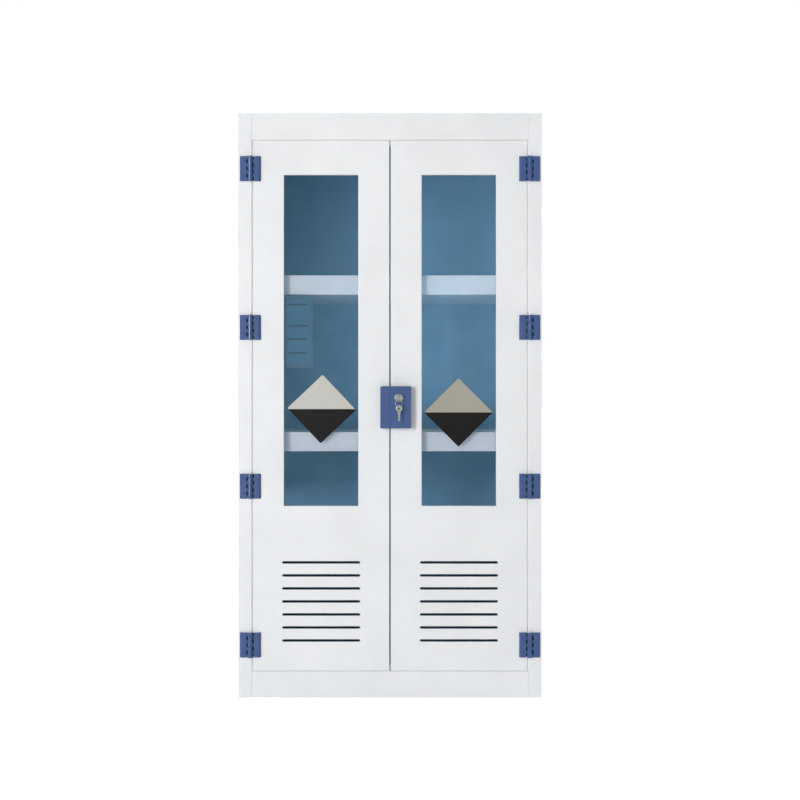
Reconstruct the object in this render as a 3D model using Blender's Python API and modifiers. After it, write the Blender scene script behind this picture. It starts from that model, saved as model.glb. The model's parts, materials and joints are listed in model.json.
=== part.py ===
"""A tall reagent cabinet of welded polypropylene sheet with two glazed, louvred doors.

Metres, +Z up. The origin is the middle of the footprint, on the floor. The doors face -Y.
"""

import math

import bmesh
import bpy
from mathutils import Matrix, Vector

# Carcass
CABINET_WIDTH = 0.935
CABINET_DEPTH = 0.450
CABINET_HEIGHT = 1.800
BOARD = 0.008
SEAT_GAP = 0.0003
SHEET_CHAMFER = 0.0008
STILE_WIDTH = 0.041
TOP_RAIL_HEIGHT = 0.080
PLINTH_HEIGHT = 0.080
STOP_STRIP_HEIGHT = 0.036
STOP_OVERLAP = 0.016

# Doors
DOOR_SIDE_GAP = 0.004
DOOR_END_GAP = 0.003
DOOR_MEETING_GAP = 0.004
WINDOW_WIDTH = 0.229
WINDOW_BELOW_DOOR_TOP = 0.1065
WINDOW_ABOVE_DOOR_FOOT = 0.508
WINDOW_CHAMFER = 0.0015
SLOT_COUNT = 7
SLOT_LENGTH = 0.241
SLOT_HEIGHT = 0.008
SLOT_PITCH = 0.0401
LOWEST_SLOT_ABOVE_DOOR_FOOT = 0.093
PANE_THICKNESS = 0.004
PANE_OVERLAP = 0.014
RETAINER_RIM = 0.012
RETAINER_FACE = 0.006
RETAINER_SIGHT_SETBACK = 0.002

# Shelf trays
TRAY_SHEET = 0.006
TRAY_HEIGHT = 0.060
TRAY_CHAMFER = 0.0012
TRAY_SIDE_CLEARANCE = 0.003
TRAY_BEHIND_DOOR = 0.022
TRAY_BACK_CLEARANCE = 0.003
UPPER_TRAY_UNDERSIDE = 1.244
LOWER_TRAY_UNDERSIDE = 0.758
LEDGE_WIDTH = 0.030
LEDGE_DROP = 0.034
LEDGE_SHEET = 0.005
LEDGE_END_SETBACK = 0.020

# Hinges
HINGE_HEIGHT = 0.077
HINGE_COUNT = 4
LOWEST_HINGE_ABOVE_DOOR_FOOT = 0.080
HIGHEST_HINGE_BELOW_DOOR_TOP = 0.088
KNUCKLE_COUNT = 7
KNUCKLE_RADIUS = 0.0075
KNUCKLE_GAP = 0.0006
KNUCKLE_CLEARANCE = 0.001
NOTCH_PAST_KNUCKLE = 0.0045
LEAF_REACH = 0.032
LEAF_THICKNESS = 0.0075
LEAF_BEVEL_WIDTH = 0.0055
LEAF_BEVEL_DEPTH = 0.0042
LEAF_CHAMFER = 0.0015
AXIS_PAST_STILE = 0.0035
PIN_RADIUS = 0.0025
PIN_CLEARANCE = 0.0003
PIN_HEAD_RADIUS = 0.0048
PIN_HEAD_HEIGHT = 0.0016
PIN_TAIL = 0.0010
PIN_CHAMFER = 0.0006

# Lock
LOCK_FOOT = 0.830
LOCK_HEIGHT = 0.129
LOCK_DEPTH = 0.028
LOCK_WALL = 0.004
LOCK_CORNER = 0.004
LOCK_EDGE_ROUND = 0.0022
LOCK_PARTING = 0.0006
CASE_WIDTH = 0.0645
KEEPER_WIDTH = 0.0295
CYLINDER_FROM_PARTING = 0.0275
CYLINDER_BELOW_LOCK_TOP = 0.0355
CYLINDER_RADIUS = 0.011
CYLINDER_FLANGE_RADIUS = 0.0135
CYLINDER_FLANGE = 0.0025
CYLINDER_LENGTH = 0.012
CYLINDER_CHAMFER = 0.0008
PLUG_RADIUS = 0.007
PLUG_HEAD_RADIUS = 0.0085
PLUG_HEAD = 0.0015
PLUG_OFF_DOOR = 0.004
PLUG_CLEARANCE = 0.0003
CAM_RADIUS = 0.011
CAM_SHEET = 0.003
CAM_EYE_RADIUS = 0.0034
DRIVE_PIN_RADIUS = 0.0016
DRIVE_PIN_PLAY = 0.0006
CAM_HALF_TURN = math.radians(45)
BOLT_THICKNESS = 0.008
BOLT_HEIGHT = 0.020
BOLT_LENGTH = 0.050
BOLT_OFF_CAM = 0.001
BOLT_BELOW_PLUG = 0.0005
BOLT_TIP_SETBACK = 0.001
BOLT_NOTCH_DEPTH = 0.0065
BOLT_CHAMFER = 0.0010
RIB_THICKNESS = 0.003
CAM_SWEEP_CLEARANCE = 0.0015
KEEPER_POCKET_PLAY = 0.0026

# Keys and ring
KEY_SHEET = 0.0020
KEY_BOW_RADIUS = 0.0105
KEY_HOLE_RADIUS = 0.0032
KEY_NECK_LENGTH = 0.0035
KEY_SHOULDER_WIDTH = 0.0105
KEY_BLADE_WIDTH = 0.0075
KEY_BLADE_LENGTH = 0.0245
KEY_CUT_DEPTH_SHARES = (0.35, 0.80, 0.50, 1.00, 0.60)
KEY_DEEPEST_CUT = 0.0026
KEYWAY_CLEARANCE = 0.0003
RING_RADIUS = 0.0145
RING_WIRE_RADIUS = 0.0008
RING_TURN = math.radians(45)
RING_SEAT = 0.0015

# Facets and cutters
ROUND_SIDES = 24
KNUCKLE_SIDES = 16
PIN_SIDES = 12
CORNER_STEPS = 4
CUT_OVERRUN = 0.002
WELD_DISTANCE = 0.000002

# Places that the sizes above give
FRONT = -CABINET_DEPTH / 2
BACK = CABINET_DEPTH / 2
DOOR_BACK = FRONT + BOARD
SIDE_INNER = CABINET_WIDTH / 2 - BOARD
OPENING_HALF = CABINET_WIDTH / 2 - STILE_WIDTH
OPENING_TOP = CABINET_HEIGHT - TOP_RAIL_HEIGHT
DOOR_FOOT = PLINTH_HEIGHT + DOOR_END_GAP
DOOR_TOP = OPENING_TOP - DOOR_END_GAP
DOOR_HEIGHT = DOOR_TOP - DOOR_FOOT
DOOR_WIDTH = OPENING_HALF - DOOR_SIDE_GAP - DOOR_MEETING_GAP / 2
DOOR_CENTRE = DOOR_MEETING_GAP / 2 + DOOR_WIDTH / 2
DOOR_MIDDLE = (DOOR_FOOT + DOOR_TOP) / 2
WINDOW_FOOT = DOOR_FOOT + WINDOW_ABOVE_DOOR_FOOT
WINDOW_TOP = DOOR_TOP - WINDOW_BELOW_DOOR_TOP
WINDOW_HEIGHT = WINDOW_TOP - WINDOW_FOOT
WINDOW_MIDDLE = (WINDOW_FOOT + WINDOW_TOP) / 2
FLOOR_TOP = PLINTH_HEIGHT
INNER_FRONT = DOOR_BACK + SEAT_GAP
INNER_BACK = BACK - BOARD - SEAT_GAP

AXIS_OFF_FACE = KNUCKLE_RADIUS + KNUCKLE_CLEARANCE
AXIS_X = OPENING_HALF + AXIS_PAST_STILE
AXIS_Y = FRONT - AXIS_OFF_FACE
KNUCKLE_PITCH = HINGE_HEIGHT / KNUCKLE_COUNT

CASE_INNER_X = LOCK_PARTING / 2
CYLINDER_X = CYLINDER_FROM_PARTING
CYLINDER_Z = LOCK_FOOT + LOCK_HEIGHT - CYLINDER_BELOW_LOCK_TOP
LOCK_FRONT = FRONT - SEAT_GAP - LOCK_DEPTH
FLANGE_FRONT = LOCK_FRONT - SEAT_GAP - CYLINDER_FLANGE
PLUG_HEAD_BACK = FLANGE_FRONT - SEAT_GAP
PLUG_FRONT = PLUG_HEAD_BACK - PLUG_HEAD
PLUG_BACK = FRONT - PLUG_OFF_DOOR
BOLT_TOP = CYLINDER_Z - PLUG_RADIUS - BOLT_BELOW_PLUG
BOLT_MIDDLE_Z = BOLT_TOP - BOLT_HEIGHT / 2
BOLT_BACK = PLUG_BACK - CAM_SHEET - BOLT_OFF_CAM
BOLT_MIDDLE_Y = BOLT_BACK - BOLT_THICKNESS / 2
BOLT_TIP_X = CASE_INNER_X + BOLT_TIP_SETBACK
BOLT_THROW = 2 * CAM_RADIUS * math.sin(CAM_HALF_TURN)
CAM_PIN_X = CYLINDER_X + CAM_RADIUS * math.sin(CAM_HALF_TURN)

KEY_HOLE_TO_STEP = KEY_BOW_RADIUS + KEY_NECK_LENGTH
KEY_CENTRE_Y = PLUG_FRONT - SEAT_GAP - KEY_HOLE_TO_STEP
RING_TOP_Z = CYLINDER_Z - RING_SEAT
RING_CENTRE_Z = RING_TOP_Z - RING_RADIUS
SPARE_CENTRE_Z = RING_CENTRE_Z - RING_RADIUS - RING_SEAT

UPRIGHT = Matrix.Rotation(math.radians(90), 4, "X")


def clear_scene():
    for obj in list(bpy.data.objects):
        bpy.data.objects.remove(obj, do_unlink=True)


def make_collection(name):
    collection = bpy.data.collections.new(name)
    bpy.context.scene.collection.children.link(collection)
    return collection


def make_material(name, colour, roughness, metallic=0.0, transmission=0.0):
    material = bpy.data.materials.new(name)
    material.use_nodes = True
    shader = material.node_tree.nodes["Principled BSDF"]
    shader.inputs["Base Color"].default_value = (*colour, 1.0)
    shader.inputs["Roughness"].default_value = roughness
    shader.inputs["Metallic"].default_value = metallic
    shader.inputs["Transmission Weight"].default_value = transmission
    material.diffuse_color = (*colour, 1.0)
    return material


clear_scene()
PARTS = make_collection("reagent_cabinet")
CUTTERS = make_collection("cutters")
WHITE_SHEET = make_material("white_polypropylene", (0.80, 0.82, 0.83), 0.45)
BLUE_SHEET = make_material("blue_polypropylene", (0.08, 0.24, 0.36), 0.45)
BLUE_MOULDED = make_material("blue_moulded_plastic", (0.065, 0.10, 0.27), 0.40)
CLEAR_PANE = make_material("clear_pane", (0.92, 0.96, 0.97), 0.05, transmission=0.9)
CHROME = make_material("chromed_metal", (0.75, 0.75, 0.76), 0.15, metallic=1.0)
STEEL = make_material("plain_steel", (0.55, 0.55, 0.56), 0.30, metallic=1.0)
NICKEL = make_material("nickelled_brass", (0.66, 0.64, 0.58), 0.25, metallic=1.0)


def box_mesh(name, size):
    """A box about its own middle."""
    shape = bmesh.new()
    bmesh.ops.create_cube(shape, size=1, matrix=Matrix.Diagonal((*size, 1)))
    return finish_mesh(name, shape)


def finish_mesh(name, shape):
    mesh = bpy.data.meshes.new(name)
    shape.to_mesh(mesh)
    shape.free()
    return mesh


def chamfered(mesh, width, wanted=None, segments=1):
    """The mesh with the edges that wanted picks, or all sharp ones, bevelled."""
    shape = bmesh.new()
    shape.from_mesh(mesh)
    sharp = [edge for edge in shape.edges if edge.calc_face_angle(0) > math.radians(50)]
    edges = [edge for edge in sharp if wanted is None or wanted(edge)]
    bmesh.ops.bevel(
        shape, geom=edges, offset=width, segments=segments, profile=0.5, affect="EDGES", clamp_overlap=True
    )
    shape.to_mesh(mesh)
    shape.free()
    return mesh


def evaluated_mesh(obj, name):
    """The mesh of an object as its modifiers or its curve bevel leave it; the object is removed."""
    graph = bpy.context.evaluated_depsgraph_get()
    graph.update()
    mesh = bpy.data.meshes.new_from_object(obj.evaluated_get(graph))
    mesh.name = name
    mesh.materials.clear()
    bpy.data.objects.remove(obj, do_unlink=True)
    shape = bmesh.new()
    shape.from_mesh(mesh)
    bmesh.ops.remove_doubles(shape, verts=shape.verts, dist=WELD_DISTANCE)
    bmesh.ops.recalc_face_normals(shape, faces=shape.faces)
    shape.to_mesh(mesh)
    shape.free()
    return mesh


def sheet_mesh(name, outlines, thickness):
    """A flat outline and its holes, drawn in X and Z, with its thickness along Y about zero."""
    curve = bpy.data.curves.new(name, "CURVE")
    curve.dimensions = "2D"
    curve.fill_mode = "BOTH"
    curve.extrude = thickness / 2
    for outline in outlines:
        spline = curve.splines.new("POLY")
        spline.points.add(len(outline) - 1)
        for point, (x, z) in zip(spline.points, outline):
            point.co = (x, z, 0, 1)
        spline.use_cyclic_u = True
    obj = bpy.data.objects.new(name, curve)
    CUTTERS.objects.link(obj)
    mesh = evaluated_mesh(obj, name)
    mesh.transform(UPRIGHT)
    shape = bmesh.new()
    shape.from_mesh(mesh)
    bmesh.ops.dissolve_limit(shape, angle_limit=math.radians(1), verts=shape.verts, edges=shape.edges)
    shape.to_mesh(mesh)
    shape.free()
    return mesh


def turned_mesh(name, profile, closed=False, sides=ROUND_SIDES):
    """A profile of (radius, height) pairs turned about Z: it runs down the outer side."""
    mesh = bpy.data.meshes.new(name)
    edges = [(i, i + 1) for i in range(len(profile) - 1)]
    if closed:
        edges.append((len(profile) - 1, 0))
    mesh.from_pydata([(radius, 0, height) for radius, height in profile], edges, [])
    obj = bpy.data.objects.new(name, mesh)
    CUTTERS.objects.link(obj)
    screw = obj.modifiers.new("turn", "SCREW")
    screw.steps = sides
    screw.render_steps = sides
    screw.use_merge_vertices = True
    screw.merge_threshold = WELD_DISTANCE
    return evaluated_mesh(obj, name)


def cylinder_mesh(name, radius, low, high, sides=ROUND_SIDES):
    """A plain cylinder along Z from low to high."""
    shape = bmesh.new()
    bmesh.ops.create_cone(
        shape,
        cap_ends=True,
        segments=sides,
        radius1=radius,
        radius2=radius,
        depth=high - low,
        matrix=Matrix.Translation((0, 0, (low + high) / 2)),
    )
    return finish_mesh(name, shape)


def joined_mesh(name, meshes):
    shape = bmesh.new()
    for mesh in meshes:
        shape.from_mesh(mesh)
    return finish_mesh(name, shape)


def moved(mesh, x=0, y=0, z=0):
    mesh.transform(Matrix.Translation((x, y, z)))
    return mesh


def box_between(name, low, high):
    """A box mesh from its lowest to its highest corner."""
    low = Vector(low)
    high = Vector(high)
    return moved(box_mesh(name, high - low), *((low + high) / 2))


def combined(mesh, steps):
    """The mesh after each (operation, other mesh) in turn, as Boolean modifiers make it."""
    obj = bpy.data.objects.new(mesh.name, mesh)
    CUTTERS.objects.link(obj)
    helpers = []
    for number, (operation, other) in enumerate(steps):
        helper = bpy.data.objects.new(f"{mesh.name}_cutter_{number}", other)
        CUTTERS.objects.link(helper)
        helper.hide_render = True
        helper.display_type = "WIRE"
        helpers.append(helper)
        boolean = obj.modifiers.new(f"step_{number}", "BOOLEAN")
        boolean.operation = operation
        boolean.solver = "EXACT"
        boolean.object = helper
    bpy.context.view_layer.update()
    result = evaluated_mesh(obj, mesh.name)
    for helper in helpers:
        bpy.data.objects.remove(helper, do_unlink=True)
    return result


def rectangle(width, height, x=0, z=0):
    return [
        (x - width / 2, z - height / 2),
        (x + width / 2, z - height / 2),
        (x + width / 2, z + height / 2),
        (x - width / 2, z + height / 2),
    ]


def arc(centre, radius, start, end, steps):
    """Points along an arc, both ends included, angles in degrees."""
    points = []
    for i in range(steps + 1):
        angle = math.radians(start + (end - start) * i / steps)
        points.append((centre[0] + radius * math.cos(angle), centre[1] + radius * math.sin(angle)))
    return points


def rounded_rectangle(left, right, foot, top, radii):
    """Corner radii in the order left foot, right foot, right top, left top; zero leaves it sharp."""
    corners = ((left, foot, 180), (right, foot, 270), (right, top, 0), (left, top, 90))
    points = []
    for (x, z, start), radius in zip(corners, radii):
        inward_x = radius if x == left else -radius
        inward_z = radius if z == foot else -radius
        if radius:
            points += arc((x + inward_x, z + inward_z), radius, start, start + 90, CORNER_STEPS)
        else:
            points.append((x, z))
    return points


def stadium(length, height, x, z):
    reach = (length - height) / 2
    right = arc((x + reach, z), height / 2, -90, 90, CORNER_STEPS)
    left = arc((x - reach, z), height / 2, 90, 270, CORNER_STEPS)
    return right + left


def world_place(obj):
    place = Vector((0, 0, 0))
    while obj:
        place += obj.location
        obj = obj.parent
    return place


def add_axis(name, place, parent=None):
    """An empty on a joint's axis, which carries the pieces that move about it."""
    empty = bpy.data.objects.new(name, None)
    empty.empty_display_size = KNUCKLE_RADIUS
    PARTS.objects.link(empty)
    if parent:
        empty.parent = parent
        place = Vector(place) - world_place(parent)
    empty.location = place
    return empty


def add_piece(name, mesh, material, place=(0, 0, 0), parent=None, rotation=(0, 0, 0), smooth=False):
    """One named piece, its origin at a place in the world."""
    obj = bpy.data.objects.new(name, mesh)
    PARTS.objects.link(obj)
    if not mesh.materials:
        mesh.materials.append(material)
    if smooth:
        mesh.shade_smooth()
        mesh.set_sharp_from_angle(angle=math.radians(35))
    if parent:
        obj.parent = parent
        place = Vector(place) - world_place(parent)
    obj.location = place
    obj.rotation_euler = rotation
    return obj


def add_board(name, low, high, material=WHITE_SHEET, chamfer=SHEET_CHAMFER):
    """A sheet or strip given by its two corners, its edges lightly chamfered."""
    low = Vector(low)
    high = Vector(high)
    mesh = chamfered(box_mesh(name, high - low), chamfer)
    return add_piece(name, mesh, material, (low + high) / 2)


def add_carcass():
    inner = SIDE_INNER - SEAT_GAP
    for side, name in ((-1, "left"), (1, "right")):
        across = sorted((side * CABINET_WIDTH / 2, side * SIDE_INNER))
        add_board(f"{name}_side_panel", (across[0], INNER_FRONT, 0), (across[1], BACK, CABINET_HEIGHT))
        across = sorted((side * CABINET_WIDTH / 2, side * OPENING_HALF))
        add_board(f"{name}_stile", (across[0], FRONT, 0), (across[1], DOOR_BACK, CABINET_HEIGHT))
    rail = OPENING_HALF - SEAT_GAP
    add_board("top_rail", (-rail, FRONT, OPENING_TOP), (rail, DOOR_BACK, CABINET_HEIGHT))
    add_board("plinth_rail", (-rail, FRONT, 0), (rail, DOOR_BACK, PLINTH_HEIGHT))
    add_board("top_panel", (-inner, INNER_FRONT, CABINET_HEIGHT - BOARD), (inner, INNER_BACK, CABINET_HEIGHT))
    add_board("floor_panel", (-inner, INNER_FRONT, FLOOR_TOP - BOARD), (inner, INNER_BACK, FLOOR_TOP))
    add_board("back_panel", (-inner, BACK - BOARD, 0), (inner, BACK, CABINET_HEIGHT), BLUE_SHEET)
    add_board(
        "floor_bearer", (-BOARD / 2, INNER_FRONT, 0), (BOARD / 2, INNER_BACK, FLOOR_TOP - BOARD - SEAT_GAP)
    )
    add_board(
        "top_stop_strip",
        (-rail, INNER_FRONT, DOOR_TOP - STOP_OVERLAP),
        (rail, INNER_FRONT + BOARD, DOOR_TOP - STOP_OVERLAP + STOP_STRIP_HEIGHT),
    )
    add_board(
        "bottom_stop_strip",
        (-rail, INNER_FRONT, FLOOR_TOP + SEAT_GAP),
        (rail, INNER_FRONT + BOARD, DOOR_FOOT + STOP_OVERLAP),
    )


def tray_mesh(width, depth):
    """A flat tray with a lip all round, its underside at zero height."""
    shape = bmesh.new()
    size = Matrix.Diagonal((width, depth, TRAY_HEIGHT, 1))
    bmesh.ops.create_cube(shape, size=1, matrix=Matrix.Translation((0, 0, TRAY_HEIGHT / 2)) @ size)
    top = max(shape.faces, key=lambda face: face.calc_center_median().z)
    outside = [edge for edge in shape.edges if edge.calc_length() > 0]
    bmesh.ops.inset_region(shape, faces=[top], thickness=TRAY_SHEET)
    floor = bmesh.ops.extrude_face_region(shape, geom=[top])
    bmesh.ops.delete(shape, geom=[top], context="FACES_ONLY")
    down = [item for item in floor["geom"] if isinstance(item, bmesh.types.BMVert)]
    bmesh.ops.translate(shape, verts=down, vec=(0, 0, TRAY_SHEET - TRAY_HEIGHT))
    bmesh.ops.bevel(shape, geom=outside, offset=TRAY_CHAMFER, segments=1, profile=0.5, affect="EDGES")
    bmesh.ops.recalc_face_normals(shape, faces=shape.faces)
    return finish_mesh("tray", shape)


def add_shelves():
    width = 2 * (SIDE_INNER - TRAY_SIDE_CLEARANCE)
    front = DOOR_BACK + TRAY_BEHIND_DOOR
    back = BACK - BOARD - TRAY_BACK_CLEARANCE
    tray = tray_mesh(width, back - front)
    wall = SIDE_INNER - SEAT_GAP
    ledge_length = back - front - 2 * LEDGE_END_SETBACK
    for level, underside in (("upper", UPPER_TRAY_UNDERSIDE), ("lower", LOWER_TRAY_UNDERSIDE)):
        add_piece(f"{level}_shelf_tray", tray, WHITE_SHEET, (0, (front + back) / 2, underside))
        for side, name in ((-1, "left"), (1, "right")):
            outline = [
                (side * wall, -SEAT_GAP),
                (side * wall, -LEDGE_DROP),
                (side * (wall - LEDGE_SHEET), -LEDGE_DROP),
                (side * (wall - LEDGE_SHEET), -SEAT_GAP - LEDGE_SHEET),
                (side * (wall - LEDGE_WIDTH), -SEAT_GAP - LEDGE_SHEET),
                (side * (wall - LEDGE_WIDTH), -SEAT_GAP),
            ]
            ledge_name = f"{level}_{name}_shelf_ledge"
            ledge = sheet_mesh(ledge_name, [outline], ledge_length)
            add_piece(ledge_name, ledge, WHITE_SHEET, (0, (front + back) / 2, underside))


def door_panel_mesh():
    """The door sheet about its own middle: a window with a chamfered sight edge, and vent slots below."""
    window_z = WINDOW_MIDDLE - DOOR_MIDDLE
    outlines = [rectangle(DOOR_WIDTH, DOOR_HEIGHT), rectangle(WINDOW_WIDTH, WINDOW_HEIGHT, 0, window_z)]
    for i in range(SLOT_COUNT):
        slot_z = DOOR_FOOT + LOWEST_SLOT_ABOVE_DOOR_FOOT + i * SLOT_PITCH - DOOR_MIDDLE
        outlines.append(stadium(SLOT_LENGTH, SLOT_HEIGHT, 0, slot_z))
    mesh = sheet_mesh("door_panel", outlines, BOARD)

    def sight_edge(edge):
        ends = [vertex.co for vertex in edge.verts]
        on_front = all(end.y < 0 for end in ends)
        in_width = all(abs(end.x) < WINDOW_WIDTH / 2 + WINDOW_CHAMFER for end in ends)
        in_height = all(abs(end.z - window_z) < WINDOW_HEIGHT / 2 + WINDOW_CHAMFER for end in ends)
        return on_front and in_width and in_height

    def outer_edge(edge):
        ends = [vertex.co for vertex in edge.verts]
        beside = all(abs(end.x) > DOOR_WIDTH / 2 - SHEET_CHAMFER for end in ends)
        beyond = all(abs(end.z) > DOOR_HEIGHT / 2 - SHEET_CHAMFER for end in ends)
        return beside or beyond

    chamfered(mesh, WINDOW_CHAMFER, sight_edge)
    return chamfered(mesh, SHEET_CHAMFER, outer_edge)


def retainer_mesh():
    """A rebated frame that clamps the pane to the back of the door, its front face at zero."""
    pane_width = WINDOW_WIDTH + 2 * PANE_OVERLAP
    pane_height = WINDOW_HEIGHT + 2 * PANE_OVERLAP
    rebate = SEAT_GAP + PANE_THICKNESS + SEAT_GAP
    depth = rebate + RETAINER_FACE
    outer = rectangle(pane_width + 2 * RETAINER_RIM, pane_height + 2 * RETAINER_RIM)
    sight = rectangle(WINDOW_WIDTH + 2 * RETAINER_SIGHT_SETBACK, WINDOW_HEIGHT + 2 * RETAINER_SIGHT_SETBACK)
    frame = moved(sheet_mesh("pane_retainer", [outer, sight], depth), y=depth / 2)
    pocket = box_between(
        "pane_pocket",
        (-pane_width / 2 - SEAT_GAP, -CUT_OVERRUN, -pane_height / 2 - SEAT_GAP),
        (pane_width / 2 + SEAT_GAP, rebate, pane_height / 2 + SEAT_GAP),
    )
    return combined(frame, [("DIFFERENCE", pocket)])


def add_doors():
    """Both doors, and the empties on their hinge axes that carry them."""
    axes = {}
    panel = door_panel_mesh()
    pane_size = (WINDOW_WIDTH + 2 * PANE_OVERLAP, PANE_THICKNESS, WINDOW_HEIGHT + 2 * PANE_OVERLAP)
    pane = chamfered(box_mesh("window_pane", pane_size), SHEET_CHAMFER)
    retainer = retainer_mesh()
    for side, name in ((-1, "left"), (1, "right")):
        axis = add_axis(f"{name}_door_axis", (side * AXIS_X, AXIS_Y, 0))
        axes[name] = axis
        x = side * DOOR_CENTRE
        add_piece(f"{name}_door_panel", panel, WHITE_SHEET, (x, FRONT + BOARD / 2, DOOR_MIDDLE), axis)
        pane_y = DOOR_BACK + SEAT_GAP + PANE_THICKNESS / 2
        add_piece(f"{name}_window_pane", pane, CLEAR_PANE, (x, pane_y, WINDOW_MIDDLE), axis)
        retainer_y = DOOR_BACK + SEAT_GAP
        add_piece(f"{name}_pane_retainer", retainer, WHITE_SHEET, (x, retainer_y, WINDOW_MIDDLE), axis)
    return axes


def leaf_mesh(name, owned, direction):
    """A hinge leaf about the pin's axis: a thick plate on the face, cut back round the other leaf's knuckles."""
    half = (HINGE_HEIGHT - KNUCKLE_GAP) / 2
    back = AXIS_OFF_FACE - SEAT_GAP
    front = back - LEAF_THICKNESS
    section = [
        (0, -back),
        (direction * LEAF_REACH, -back),
        (direction * LEAF_REACH, -front - LEAF_BEVEL_DEPTH),
        (direction * (LEAF_REACH - LEAF_BEVEL_WIDTH), -front),
        (0, -front),
    ]
    plate = sheet_mesh(name, [section], 2 * half)
    plate.transform(UPRIGHT)

    def end_rim(edge):
        one, other = (vertex.co for vertex in edge.verts)
        on_one_end = abs(one.z - other.z) < half
        off_the_back = max(one.y, other.y) < back - WELD_DISTANCE
        return on_one_end and off_the_back and max(abs(one.x), abs(other.x)) > KNUCKLE_RADIUS

    chamfered(plate, LEAF_CHAMFER, end_rim)
    reach = KNUCKLE_RADIUS + NOTCH_PAST_KNUCKLE
    notches = []
    knuckles = []
    for i in range(KNUCKLE_COUNT):
        low = i * KNUCKLE_PITCH - HINGE_HEIGHT / 2
        high = low + KNUCKLE_PITCH
        if i in owned:
            ends = (low + KNUCKLE_GAP / 2, high - KNUCKLE_GAP / 2)
            knuckles.append(cylinder_mesh("knuckle", KNUCKLE_RADIUS, *ends, KNUCKLE_SIDES))
        else:
            notches.append(
                box_between(
                    "notch",
                    (-reach, -reach, low - KNUCKLE_GAP / 2),
                    (reach, AXIS_OFF_FACE + CUT_OVERRUN, high + KNUCKLE_GAP / 2),
                )
            )
    bore = cylinder_mesh(
        "pin_bore", PIN_RADIUS + PIN_CLEARANCE, -half - CUT_OVERRUN, half + CUT_OVERRUN, PIN_SIDES
    )
    steps = [
        ("DIFFERENCE", joined_mesh("notches", notches)),
        ("UNION", joined_mesh("knuckles", knuckles)),
        ("DIFFERENCE", bore),
    ]
    return combined(plate, steps)


def pin_mesh():
    top = HINGE_HEIGHT / 2
    foot = -HINGE_HEIGHT / 2 - PIN_TAIL
    head_top = top + PIN_HEAD_HEIGHT
    profile = [
        (0, head_top),
        (PIN_HEAD_RADIUS - PIN_CHAMFER, head_top),
        (PIN_HEAD_RADIUS, head_top - PIN_CHAMFER),
        (PIN_HEAD_RADIUS, top),
        (PIN_RADIUS, top),
        (PIN_RADIUS, foot + PIN_CHAMFER),
        (PIN_RADIUS - PIN_CHAMFER, foot),
        (0, foot),
    ]
    return turned_mesh("hinge_pin", profile, sides=PIN_SIDES)


def add_hinges(axes):
    frame_leaf = leaf_mesh("frame_leaf", range(0, KNUCKLE_COUNT, 2), -1)
    door_leaf = leaf_mesh("door_leaf", range(1, KNUCKLE_COUNT, 2), 1)
    pin = pin_mesh()
    lowest = DOOR_FOOT + LOWEST_HINGE_ABOVE_DOOR_FOOT
    highest = DOOR_TOP - HIGHEST_HINGE_BELOW_DOOR_TOP
    spacing = (highest - lowest) / (HINGE_COUNT - 1)
    for side, name in ((-1, "left"), (1, "right")):
        # A half turn about Y mirrors a leaf, because it is the same above and below its middle.
        turn = (0, math.radians(180) if side > 0 else 0, 0)
        for i in range(HINGE_COUNT):
            place = (side * AXIS_X, AXIS_Y, lowest + i * spacing)
            number = i + 1
            add_piece(f"{name}_frame_leaf_{number}", frame_leaf, BLUE_MOULDED, place, rotation=turn, smooth=True)
            add_piece(f"{name}_door_leaf_{number}", door_leaf, BLUE_MOULDED, place, axes[name], turn, True)
            add_piece(f"{name}_hinge_pin_{number}", pin, STEEL, place, smooth=True)


def rounded_block(name, left, right):
    """A block of the lock's height and depth on the door's face, its corners and front edge rounded."""
    top = LOCK_FOOT + LOCK_HEIGHT
    radii = [LOCK_CORNER if abs(x) > LOCK_CORNER else 0 for x in (left, right, right, left)]
    outline = rounded_rectangle(left, right, LOCK_FOOT, top, radii)
    mesh = sheet_mesh(name, [outline], LOCK_DEPTH)

    def front_rim(edge):
        ends = [vertex.co for vertex in edge.verts]
        on_parting = all(abs(end.x) < LOCK_PARTING for end in ends)
        return all(end.y < 0 for end in ends) and not on_parting

    chamfered(mesh, LOCK_EDGE_ROUND, front_rim, segments=2)
    return moved(mesh, y=FRONT - SEAT_GAP - LOCK_DEPTH / 2)


def bolt_way(name, left, right, play):
    """The space that the bolt needs, between two places across the cabinet."""
    return box_between(
        name,
        (left, BOLT_MIDDLE_Y - BOLT_THICKNESS / 2 - play, BOLT_TOP - BOLT_HEIGHT - play),
        (right, BOLT_MIDDLE_Y + BOLT_THICKNESS / 2 + play, BOLT_TOP + play),
    )


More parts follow.
